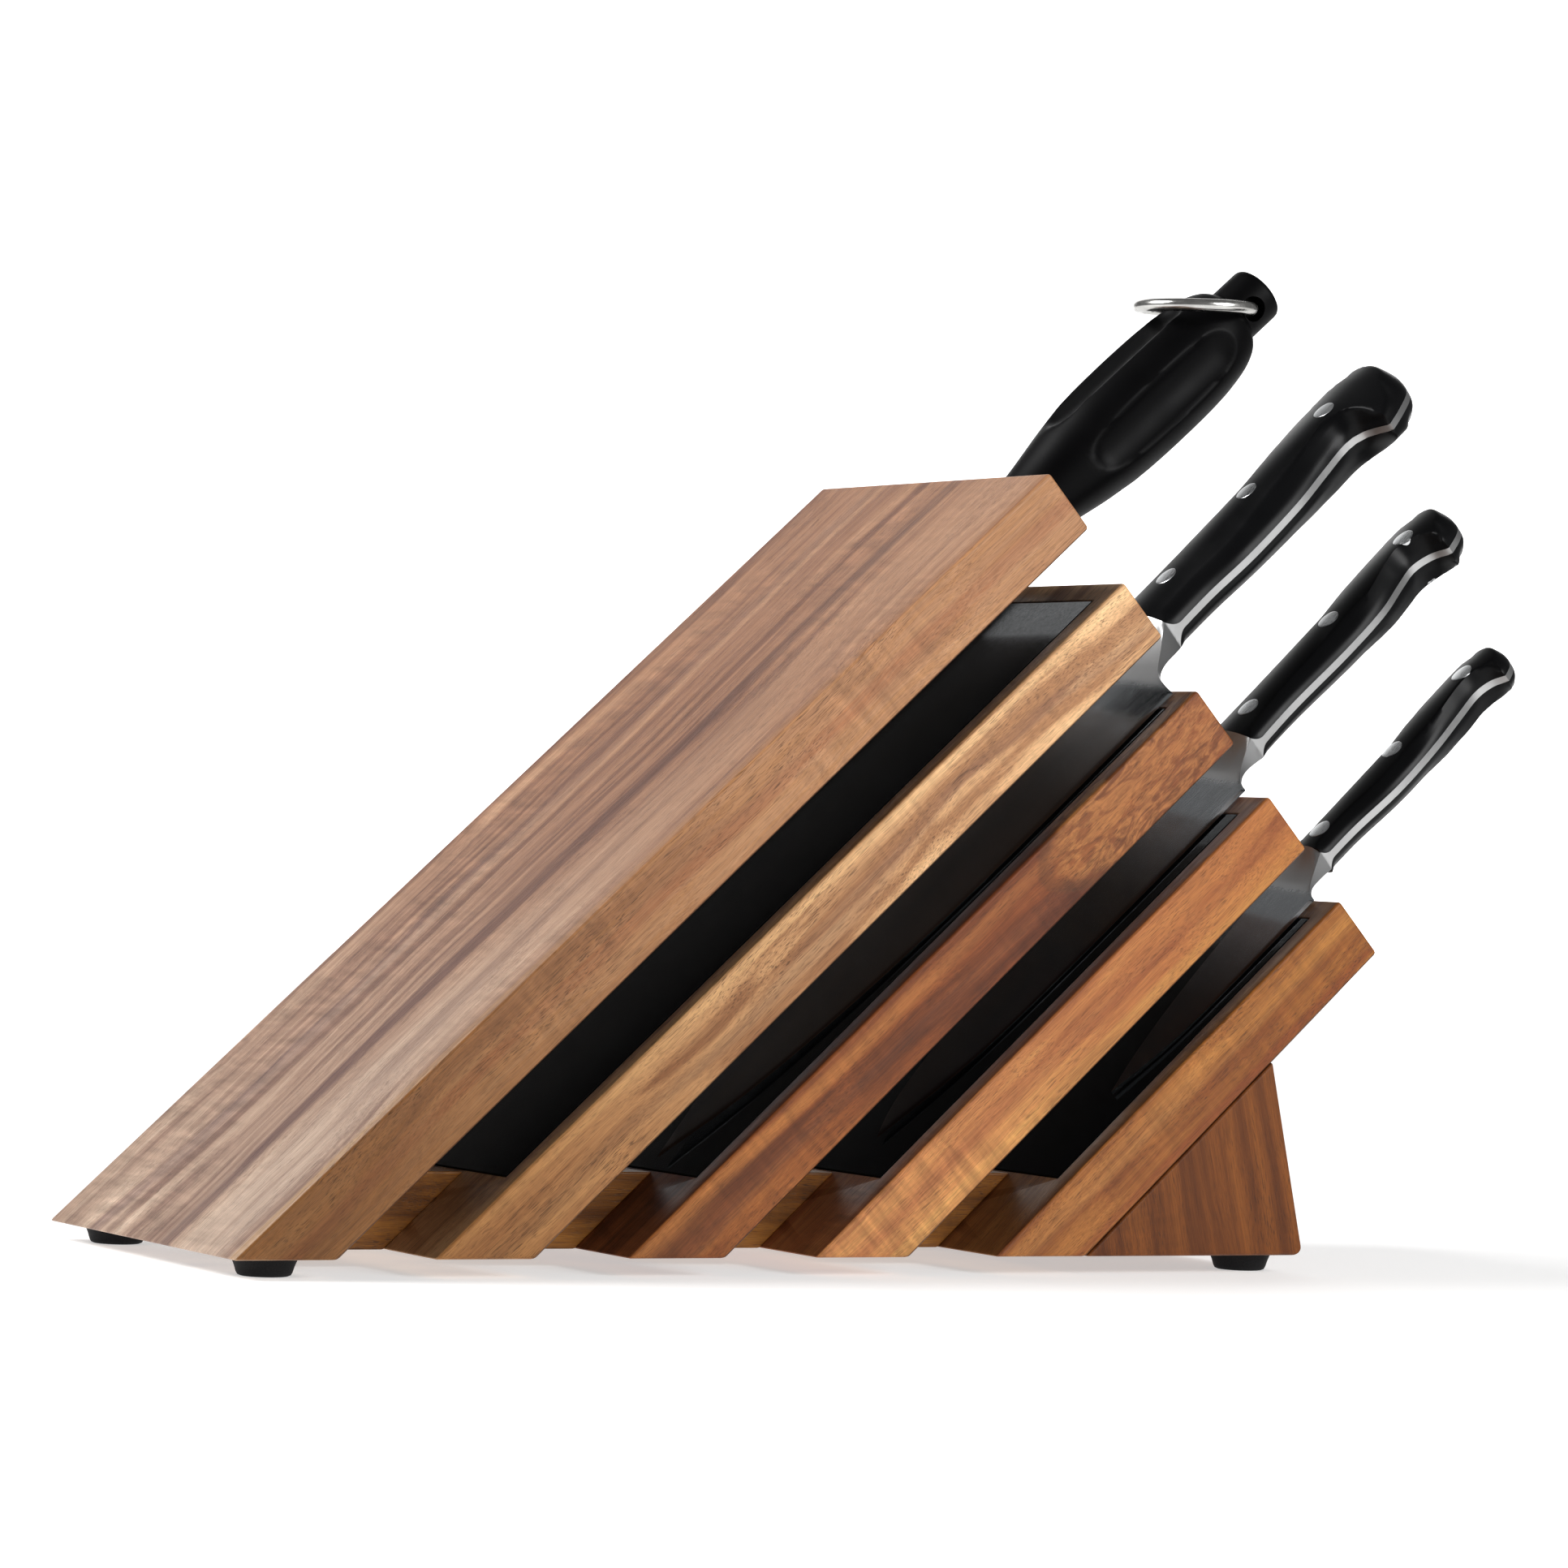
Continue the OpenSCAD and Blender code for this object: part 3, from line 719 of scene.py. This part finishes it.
def make_foot(node, material):
    """A tapered rubber foot with eased rims, and a recess and a hole for its screw."""
    low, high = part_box(node)
    top_r = (high.x - low.x) / 2 / MM
    low_r = top_r - 1.5
    recess_r, recess_h, hole_r, height = 3.7, 2.8, 1.85, 5.0
    outside = [(0.0, low_r - 1.0), (0.3, low_r - 0.25), (1.0, low_r + 0.15), (2.6, low_r + 0.65),
               (4.2, top_r - 0.2), (4.7, top_r - 0.05), (height, top_r - 0.4)]
    inside = [(height, hole_r), (recess_h, hole_r), (recess_h, recess_r), (0.4, recess_r)]
    rim = (0.0, recess_r + 0.1)
    mesh = revolve("foot", [rim] + outside + inside + [rim], 64, sharp_degrees=40)
    centre = Vector(((low.x + high.x) / 2, (low.y + high.y) / 2, low.z))
    matrix = Matrix.Translation(centre) @ Matrix.Rotation(math.radians(-90), 4, "Y")
    add_piece(node.replace("foot", "rubber_foot"), mesh, matrix, "block", [node], material)


# --- knives ---

# Each knife in its own frame: the board it lies on and where its heel is there, where its bolster ends, half
# its thickness at the front and the butt, its dome's crest line, where its bolster's hollow starts at the
# spine, and its outlines as (x, y) points
KNIVES = {
    "chef": {
        "board": 3, "heel": (233.7, 9.5), "start": 24.0,
        "front": 7.6, "butt": 10.0, "mid": 42.0, "inner": 7.5,
        "edge": [(-199, 21.9), (-170, 10.8), (-130, 3.6), (-80, 0.2), (0, 0)],
        "spine": [(-199, 21.9), (-184, 27.2), (-150, 38), (-90, 47), (-4, 51.5)],
        "near": [(24, 27.0), (42, 28.0), (60, 27), (82, 28.6), (98, 32), (110, 34.3), (116, 31.4),
                 (119.6, 22.5)],
        "end": [(119.6, 22.5), (127, 25.4), (134.5, 29.8), (139, 37), (140, 45), (137.5, 52), (131, 55.6),
                (121, 56)],
        "far": [(121, 56), (90, 54), (50, 53), (24, 52.6)],
        "back": [(0, 0), (2.8, 7), (6, 13.4), (10, 17.6), (16, 21.8), (24, 27.0)],
        "rivets": [(40.5, 42.2), (78.3, 42.6), (115, 42.8)],
    },
    "utility": {
        "board": 4, "heel": (194.5, 13.5), "start": 17.5,
        "front": 5.8, "butt": 8.0, "mid": 25.4, "inner": 5.5,
        "edge": [(-150, 11), (-115, 2.6), (-70, 0.2), (0, 0)],
        "spine": [(-150, 11), (-132, 19.5), (-90, 27.5), (-3, 32.5)],
        "near": [(17.5, 13.4), (36, 15.2), (60, 15), (78, 16.6), (90, 20.6), (98, 22.8), (104, 19.8),
                 (107, 14)],
        "end": [(107, 14), (113, 16.4), (117, 20), (119.5, 27), (117.8, 33), (113, 36), (105, 36.2)],
        "far": [(105, 36.2), (80, 35), (45, 34.2), (17.5, 33.6)],
        "back": [(0, 0), (2.4, 4.6), (6, 8.6), (11, 11.4), (17.5, 13.4)],
        "rivets": [(28, 24.4), (66.4, 25.2), (103, 26.4)],
    },
    "paring": {
        "board": 5, "heel": (149, 11.5), "start": 16.0,
        "front": 5.2, "butt": 6.6, "mid": 18.7, "inner": 4.5,
        "edge": [(-84, 6.6), (-62, 1.6), (-35, 0.2), (0, 0)],
        "spine": [(-84, 6.6), (-66, 12.4), (-40, 18.2), (-3, 23.8)],
        "near": [(16, 11.4), (30, 11.7), (48, 9.9), (66, 11.3), (80, 14), (90, 15.9), (95.6, 14),
                 (98.4, 9.6)],
        "end": [(98.4, 9.6), (102.4, 11.6), (105.6, 15.6), (106.5, 20.5), (104.4, 25), (100, 26.9),
                (93, 26.8)],
        "far": [(93, 26.8), (70, 26), (40, 25.4), (16, 24.8)],
        "back": [(0, 0), (1.8, 3.4), (5, 6.8), (10, 9.2), (16, 11.4)],
        "rivets": [(23.4, 18.2), (58.2, 19), (92.4, 20.3)],
    },
}
# Half thicknesses of the steel in millimetres
TANG = 1.1
SPINE = 1.2
EDGE = 0.05
BEVEL_TOP = 0.34


class Knife:
    """Outlines and half thickness of one knife, all in its own frame."""

    def __init__(self, facts):
        self.facts = facts
        self.start = facts["start"]
        self.size = facts["butt"] / 10.0
        near = smooth_curve(facts["near"])
        end = smooth_curve(facts["end"])
        far = smooth_curve(facts["far"])
        tip = max(range(len(end)), key=lambda k: end[k][0])
        self.tip_x = end[tip][0]
        self.near = near + end[1:tip + 1]
        self.far = list(reversed(end[tip:] + far[1:]))
        self.back = smooth_curve(facts["back"])
        self.edge = smooth_curve(facts["edge"])
        self.spine = smooth_curve(facts["spine"]) + [far[-1]]
        self.handle_line = np.array(near + end[1:] + far[1:])
        self.bolster_near = np.array(self.back + near[1:])

    def low(self, x):
        line = self.edge if x < 0 else self.back if x < self.start else self.near
        return float(np.interp(x, *zip(*line)))

    def high(self, x):
        line = self.spine if x < self.start else self.far
        return float(np.interp(x, *zip(*line)))

    def distance(self, line, x, y):
        """How far x, y is from an open line."""
        a, b = line[:-1], line[1:]
        along = b - a
        to_point = np.array((x, y)) - a
        share = np.clip((to_point * along).sum(1) / (along * along).sum(1), 0, 1)
        gap = to_point - along * share[:, None]
        return float(np.sqrt((gap * gap).sum(1).min()))

    def middle(self, x):
        """Half thickness along the middle of the handle: it swells to the butt and falls a little there."""
        front, butt, end = self.facts["front"], self.facts["butt"], self.tip_x
        full, falling = 16.0, 12.0
        share = min(max((x - self.start) / (end - full - self.start), 0), 1)
        swell = front + (butt - front) * ease(share)
        return swell - 0.05 * butt * ease((x - end + falling) / falling)

    def dome(self, x, y):
        """Half thickness of the rounded top of the handle, without its flanks."""
        crest = self.facts["mid"] + 0.02 * (x - 70)
        radius = 34.0 * self.size
        return self.middle(x) - (y - crest) ** 2 / (2 * radius)

    def collar(self):
        """Half width of the steel strip where it joins the bolster."""
        return 0.62 * self.facts["front"]

    def strip(self, x):
        """Half width of the steel strip along the handle; it flares into the bolster."""
        flare = 5.0 * self.size
        t = max(1 - (x - self.start) / flare, 0.0)
        return TANG + (self.collar() - TANG) * t * t

    def flank(self, gap, x):
        """Rise of the slanted flank above the steel strip at a distance from the outline: a rounded foot,
        then a slope that is steeper beside the last rivet, on small knives most, and at the very end."""
        share = x / self.tip_x
        brow = 1.2 + 5.0 * (1.0 - self.size)
        steep = 1 + brow * (ease((share - 0.55) / 0.27) - ease((share - 0.885) / 0.06))
        steep += 1.4 * ease((share - 0.92) / 0.08)
        gap = gap / self.size * steep
        foot, foot_width, slope = 1.9, 0.45, 0.92
        rise = foot * (1 - math.exp(-gap / foot_width)) + slope * gap
        return rise * self.size

    def handle(self, x, y):
        """Half thickness of the handle's surface, where the dome and the flank meet in a soft crease."""
        gap = self.distance(self.handle_line, x, y)
        crease = 0.5 * self.size
        return soft_min(self.dome(x, y), self.strip(x) + self.flank(gap, x), crease)

    def rivet_top(self, x, y, side):
        """The rivets stay level with the dome where the flank cuts under them, and end inside it below."""
        surface, dome = self.handle(x, y), self.dome(x, y)
        if surface > dome - 0.6:
            return surface
        return dome - 0.3 if side > 0 else surface - 0.5

    def inner(self, y):
        """Where the bolster's hollow starts on the blade."""
        depth = self.facts["spine"][-1][1]
        return self.facts["inner"] * ease(y / (0.5 * depth)) - 0.4

    def wedge(self, y):
        """Half thickness of the blade: a fine bevel at the edge, then a long flat grind to the spine."""
        depth = self.facts["spine"][-1][1]
        return min(EDGE + 0.30 * y, BEVEL_TOP + (SPINE - BEVEL_TOP) * y / depth)

    def bolster(self, x, y):
        """Half thickness of the bolster: a hollow that rises from the blade to a ridge, and a back face."""
        blade = self.wedge(y)
        start = self.inner(y)
        share = max((x - start) / max(self.start - start, 0.5), 0.0)
        target = self.handle(self.start, max(y, self.low(self.start) + 2.2))
        hollow = blade + (target - blade) * share ** 1.7
        foot = EDGE + (self.collar() - EDGE) * max(x / self.start, 0.0) ** 1.35
        back = foot + 0.55 * self.distance(self.bolster_near, x, y)
        far = foot + self.flank(max(self.high(x) - y, 0.0), x) + 0.3
        return soft_min(soft_min(hollow, back, 0.35), max(far, SPINE), 0.4)

    def steel(self, x, y):
        """Half thickness of the forged piece: tang, bolster or blade. The edge's bevel follows its curve."""
        if x > self.start:
            return self.strip(x)
        if x < -0.5:
            return self.wedge(y - self.low(x) * min(max((-x - 60) / 60, 0), 1))
        return self.bolster(x, y)


def spaced(stops, step):
    """Numbers from the first stop to the last, at most step apart, with each stop among them."""
    made = [stops[0]]
    for a, b in zip(stops, stops[1:]):
        count = max(1, math.ceil((b - a) / step))
        made += [a + (b - a) * k / count for k in range(1, count + 1)]
    return made


def edge_rows(fine, count):
    """Shares across a slab, close together at both edges."""
    inner = [k / count for k in range(count + 1)]
    return sorted(set(fine + [1 - f for f in fine] + [f for f in inner if 0.12 < f < 0.88] + [0.0, 1.0]))


def make_blade(name, knife, matrix, material):
    """Blade, bolster and full tang in one forged piece."""
    point, start, end = knife.edge[0][0], knife.start, knife.tip_x
    xs = [point + t for t in (0.0, 0.3, 0.8, 1.6, 3.0)]
    xs += spaced([point + 5.0, -12.0], 4.0)
    xs += spaced([-9.0, -0.5, start - 6.0, start - 0.001], 0.55)
    xs += spaced([start + 0.001, start + 8.0], 0.6)
    xs += spaced([start + 10.0, end - 24.0], 3.0)
    xs += spaced([end - 22.0, end - 4.0], 1.0)
    xs += [end - t for t in (3.0, 2.2, 1.5, 1.0, 0.6, 0.3, 0.12, 0.02)]
    stations = [(x, knife.low(x), knife.high(x)) for x in xs]
    rows = edge_rows([0.012, 0.028, 0.05, 0.08], 26)
    mesh = slab(name, stations, rows, knife.steel, lambda x, y: -knife.steel(x, y), 30)
    add_piece(f"{name}_steel", mesh, matrix, f"{name}_knife", [f"{name}_blade"], material)


def make_scale(name, knife, side, matrix, material):
    """One handle scale; side is 1 above the tang and -1 below it."""
    start, end = knife.start, knife.tip_x
    xs = spaced([start + 0.02, start + 8.0], 0.8)
    xs += spaced([start + 10.0, end - 30.0], 2.0)
    xs += spaced([end - 29.0, end - 4.0], 0.7)
    xs += [end - t for t in (3.3, 2.7, 2.2, 1.7, 1.3, 0.9, 0.6, 0.35, 0.15, 0.02)]
    stations = [(x, knife.low(x), knife.high(x)) for x in xs]
    rows = edge_rows([0.006, 0.015, 0.03, 0.05, 0.075, 0.1], 34)

    def outer(x, y):
        return side * max(knife.handle(x, y), knife.strip(x))

    def inner(x, y):
        return side * knife.strip(x)

    label = "upper" if side > 0 else "lower"
    mesh = slab(f"{name}_scale", stations, rows, outer, inner, 34)
    node = f"{name}_{label}_scale"
    add_piece(f"{name}_{label}_grip", mesh, matrix, f"{name}_knife", [node], material)


def make_rivets(name, knife, matrix, material):
    """Three rivets through the handle, their heads ground to the scales."""
    points, faces = [], []
    turns = 48
    proud = 0.09
    # Radius, and rise over the handle's surface
    rings = [(0.25 * k, proud) for k in range(13)] + [(3.2, 0.08), (3.35, 0.06), (3.5, -0.05)]
    for centre_x, centre_y in knife.facts["rivets"]:
        first = len(points)
        levels = [(r, rise, 1) for r, rise in rings] + [(r, rise, -1) for r, rise in reversed(rings)]
        for radius, rise, side in levels:
            for k in range(turns):
                angle = 2 * math.pi * k / turns
                x = centre_x + radius * math.cos(angle)
                y = centre_y + radius * math.sin(angle)
                points.append((x, y, side * (knife.rivet_top(x, y, side) + rise)))
        for i in range(len(levels) - 1):
            for k in range(turns):
                a, b = first + i * turns + k, first + i * turns + (k + 1) % turns
                faces.append((a, b, b + turns, a + turns))
    mesh = mesh_of(f"{name}_rivet_heads", points, faces, 35)
    add_piece(f"{name}_rivet_set", mesh, matrix, f"{name}_knife", [f"{name}_rivets"], material)


# --- honing steel ---

ROD_D = 12.0
GRIP_LEN = 119.5
STUB_R = 8.75
HOLE_X = 111.0
HOLE_D = 7.6
GRIP_R = 16.4
GRIP_SIDE = [(0, 8.2), (6, 9.6), (20, 11.2), (38, 14.4), (54, 16.3), (80, GRIP_R), (95, 14.9), (103, 12.4),
             (107, STUB_R)]
SCOOP_X = 67.0
SCOOP_FLAT = 23.0
SCOOP_R = 13.0
SCOOP_DEPTH = 3.8
SCOOP_OUT = GRIP_R + SCOOP_R - SCOOP_DEPTH


def scooped(x, radius, angle):
    """The grip's radius where one of its four finger hollows may cut into it."""
    off = max(abs(x - SCOOP_X) - SCOOP_FLAT, 0.0)
    if off >= SCOOP_R:
        return radius
    hollow_r = math.sqrt(SCOOP_R ** 2 - off ** 2)
    quarter = math.pi / 2
    turn = (angle + quarter / 2) % quarter - quarter / 2
    inside = hollow_r ** 2 - (SCOOP_OUT * math.sin(turn)) ** 2
    if inside <= 0:
        return radius
    reach = SCOOP_OUT * math.cos(turn) - math.sqrt(inside)
    return soft_min(radius, reach, 0.2)


def make_grip(matrix, material):
    """The moulded grip with its finger hollows, its short stub and the cross hole for the ring."""
    front = [(0.0, 0.0), (0.0, 6.1), (0.0, 7.4), (0.25, 8.0)]
    side = smooth_curve(GRIP_SIDE, 10)[1:]
    stub = [(107.6, STUB_R - 0.05)] + [(x, STUB_R) for x in (108.4, 110.0, 112.0, 114.0, 116.0, 117.6)]
    end = [(118.4, STUB_R - 0.12), (119.0, STUB_R - 0.5), (119.4, STUB_R - 1.1), (GRIP_LEN, STUB_R - 2.0),
           (GRIP_LEN, 4.0), (GRIP_LEN, 0.0)]
    sharp = 40
    piece = add_object("grip", revolve("grip", front + side + stub + end, 144, scooped, sharp), matrix)
    reach = 20.0
    drill = [(-reach, 0.0), (-reach, HOLE_D / 2), (reach, HOLE_D / 2), (reach, 0.0)]
    turn = Matrix.Translation((HOLE_X * MM, 0, 0)) @ Matrix.Rotation(math.radians(90), 4, "Z")
    cut(piece, add_object("drill", revolve("drill", drill, 64), matrix @ turn), "DIFFERENCE")
    mesh = piece.data
    bpy.data.objects.remove(piece)
    clean(mesh, sharp)
    add_piece("honing_grip", mesh, matrix, "honing_steel", ["steel_handle"], material)


def make_rod(matrix, material):
    """The honing rod with fine grooves along it and a chamfered end."""
    length = 245.0
    radius = ROD_D / 2
    tenon = 30.0
    grooves = 60
    groove_depth = 0.1

    def grooved(x, r, angle):
        if -length + 3 < x < -2:
            return r - groove_depth / 2 * (1 - math.cos(grooves * angle))
        return r

    profile = [(-length, 0.0), (-length, radius - 1.7), (-length + 1.7, radius), (-length + 2.9, radius)]
    profile += [(x, radius) for x in spaced([-length + 3.2, -2.4], 24.0)]
    profile += [(-1.8, radius), (tenon - 1.0, radius), (tenon, radius - 0.6), (tenon, 0.0)]
    mesh = revolve("rod", profile, grooves * 4, grooved, 50)
    add_piece("honing_rod", mesh, matrix, "honing_steel", ["steel_rod"], material)


def make_ring(matrix, material):
    """The hanging ring: round wire bent to a circle, its two ends meeting in a fine seam."""
    ring_r = 16.8
    wire_r = 1.9
    hang_r = 15.3
    tilt = math.radians(41)
    around, across = 160, 32
    seam = math.radians(118)
    seam_width, seam_depth = 0.8, 0.22
    points, faces = [], []
    for i in range(around):
        angle = 2 * math.pi * i / around
        from_seam = abs((angle - seam + math.pi) % (2 * math.pi) - math.pi) * ring_r
        wire = wire_r - seam_depth * max(0.0, 1 - from_seam / seam_width)
        for k in range(across):
            turn = 2 * math.pi * k / across
            reach = ring_r + wire * math.cos(turn)
            points.append((reach * math.cos(angle), reach * math.sin(angle), wire * math.sin(turn)))
    for i in range(around):
        this, other = i * across, (i + 1) % around * across
        for k in range(across):
            n = (k + 1) % across
            faces.append((this + k, this + n, other + n, other + k))
    mesh = mesh_of("ring", points, faces, 50)
    hole = matrix @ Matrix.Translation((HOLE_X * MM, 0, 0))
    place = hole @ Matrix.Rotation(tilt, 4, "Y") @ Matrix.Translation((-hang_r * MM, 0, 0))
    add_piece("wire_ring", mesh, place, "ring", ["hanging_ring"], material)


# --- build ---

def build_rack():
    woods = [board_1_wood(), board_2_wood(), board_3_wood(), board_4_wood(), board_5_wood()]
    for i, material in enumerate(woods, 1):
        make_board(i, material)
    panel = gloss_panel("black panel")
    for i in range(2, 6):
        make_panel(i, panel)
    spacer = spacer_wood()
    for i in range(1, 5):
        make_spacer(i, spacer)
    make_wedge(wedge_wood())
    rubber = dark_plastic("foot rubber", (0.014, 0.014, 0.015), 0.62, 2.5, 0.5)
    for node in ("foot_near_left", "foot_near_right", "foot_far_left", "foot_far_right"):
        make_foot(node, rubber)


def build_knives():
    scale = dark_plastic("handle scale", (0.0035, 0.0036, 0.0042), 0.34, 3.0, 0.03)
    along = knife_matrix(KNIVES["utility"])
    rivet = steel("rivet steel", along, (0.74, 0.75, 0.76), 0.24, 0.36, (0.4, 5.0, 5.0), relief=0.08)
    for name, facts in KNIVES.items():
        knife = Knife(facts)
        matrix = knife_matrix(facts)
        make_blade(name, knife, matrix, blade_steel(name, matrix))
        for side in (1, -1):
            make_scale(name, knife, side, matrix, scale)
        make_rivets(name, knife, matrix, rivet)


def build_honing_steel():
    matrix = steel_matrix()
    make_grip(matrix, dark_plastic("honing grip", (0.0016, 0.0015, 0.0019), 0.45, 2.6, 0.45, level=0.15))
    make_rod(matrix, steel("rod steel", matrix, (0.62, 0.63, 0.64), 0.28, 0.40, (0.1, 2.0, 2.0)))
    ring = steel("ring steel", matrix, (0.66, 0.65, 0.63), 0.20, 0.28, (0.3, 0.3, 0.3), relief=0.01)
    make_ring(matrix, ring)


def paint_kept_nodes():
    """The CAD pieces that stay as they are get their own node materials."""
    magnet = magnet_grey("magnet")
    screw = steel("screw steel", None, (0.66, 0.66, 0.66), 0.2, 0.34, (3.0, 3.0, 3.0))
    dowel = beech("dowel wood")
    looks = {f"bar_magnets_{i}": ("magnet", magnet) for i in range(2, 6)}
    looks["joint_dowels"] = ("dowel_wood", dowel)
    looks["foot_screws"] = ("screw_steel", screw)
    for node, (slot, material) in looks.items():
        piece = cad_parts[node]
        piece.data.materials.clear()
        piece.data.materials.append(material)


# --- studio ---

def glowing_sheet(name, size, base, rough_waves, glow):
    """A square sheet of matt near-white that glows a little, so that it reads as white."""
    work = bmesh.new()
    bmesh.ops.create_grid(work, x_segments=8, y_segments=8, size=size)
    mesh = bpy.data.meshes.new(name)
    work.to_mesh(mesh)
    work.free()
    shader = Shader(name)
    cloud = shader.noise(shader.millimetres(), (rough_waves,) * 3, 2.0)
    shader.set(base_color=shader.mix(cloud, *base))
    shader.set(roughness=0.9)
    shader.surface.inputs["Emission Color"].default_value = (1.0, 1.0, 1.0, 1.0)
    shader.surface.inputs["Emission Strength"].default_value = glow
    mesh.materials.append(shader.material)
    return mesh


def make_floor():
    base = ((0.62, 0.62, 0.62), (0.66, 0.66, 0.655))
    floor = add_object("floor", glowing_sheet("pale floor", 4.0, base, 0.004, 0.42), Matrix.Identity(4))


def make_backdrop():
    """A white wall far behind the rack, just wider than the camera sees."""
    base = ((0.90, 0.90, 0.90), (0.94, 0.94, 0.94))
    away = 3.0
    place = Vector((math.sin(CAMERA_YAW) * away, math.cos(CAMERA_YAW) * away, 1.2))
    turn = Matrix.Rotation(-CAMERA_YAW, 4, "Z") @ Matrix.Rotation(math.radians(90), 4, "X")
    wall = glowing_sheet("white backdrop", 1.3, base, 0.002, 0.8)
    add_object("backdrop", wall, Matrix.Translation(place) @ turn)


def add_light(name, place, aim, size, power):
    data = bpy.data.lights.new(name, "AREA")
    data.shape = "RECTANGLE"
    data.size, data.size_y = size
    data.energy = power
    turn = (Vector(aim) - Vector(place)).to_track_quat("-Z", "Y").to_matrix().to_4x4()
    add_object(name, data, Matrix.Translation(place) @ turn)


def make_lights():
    """A dim white world, a soft key light high on the left and a soft light at the front right."""
    world = bpy.data.worlds.new("studio")
    world.use_nodes = True
    background = world.node_tree.nodes["Background"]
    background.inputs[0].default_value = (1.0, 1.0, 1.0, 1.0)
    background.inputs[1].default_value = 0.16
    bpy.context.scene.world = world
    add_light("key", (-1.7, 0.7, 1.7), (0.0, 0.0, 0.12), (1.1, 1.1), 50.0)
    add_light("front", (0.75, -1.35, 0.85), (0.0, 0.0, 0.15), (0.9, 0.8), 14.5)


def make_camera():
    """A long lens to the left of the front, level with the rack, as the rack was photographed."""
    yaw, pitch, roll = CAMERA_YAW, math.radians(-0.316), math.radians(2.128)
    ahead = Vector((math.sin(yaw) * math.cos(pitch), math.cos(yaw) * math.cos(pitch), -math.sin(pitch)))
    level = Vector((math.cos(yaw), -math.sin(yaw), 0.0))
    above = level.cross(ahead)
    right = math.cos(roll) * level + math.sin(roll) * above
    above = -math.sin(roll) * level + math.cos(roll) * above
    turn = Matrix((right, above, -ahead)).transposed().to_4x4()
    data = bpy.data.cameras.new("camera")
    data.lens = 130.92
    data.sensor_width = 36.0
    place = Matrix.Translation((-0.7949, -1.4201, 0.1250))
    scene = bpy.context.scene
    scene.camera = add_object("camera", data, place @ turn)
    scene.view_settings.view_transform = "Standard"
    scene.view_settings.look = "Medium High Contrast"


build_rack()
build_knives()
build_honing_steel()
paint_kept_nodes()
make_floor()
make_backdrop()
make_lights()
make_camera()
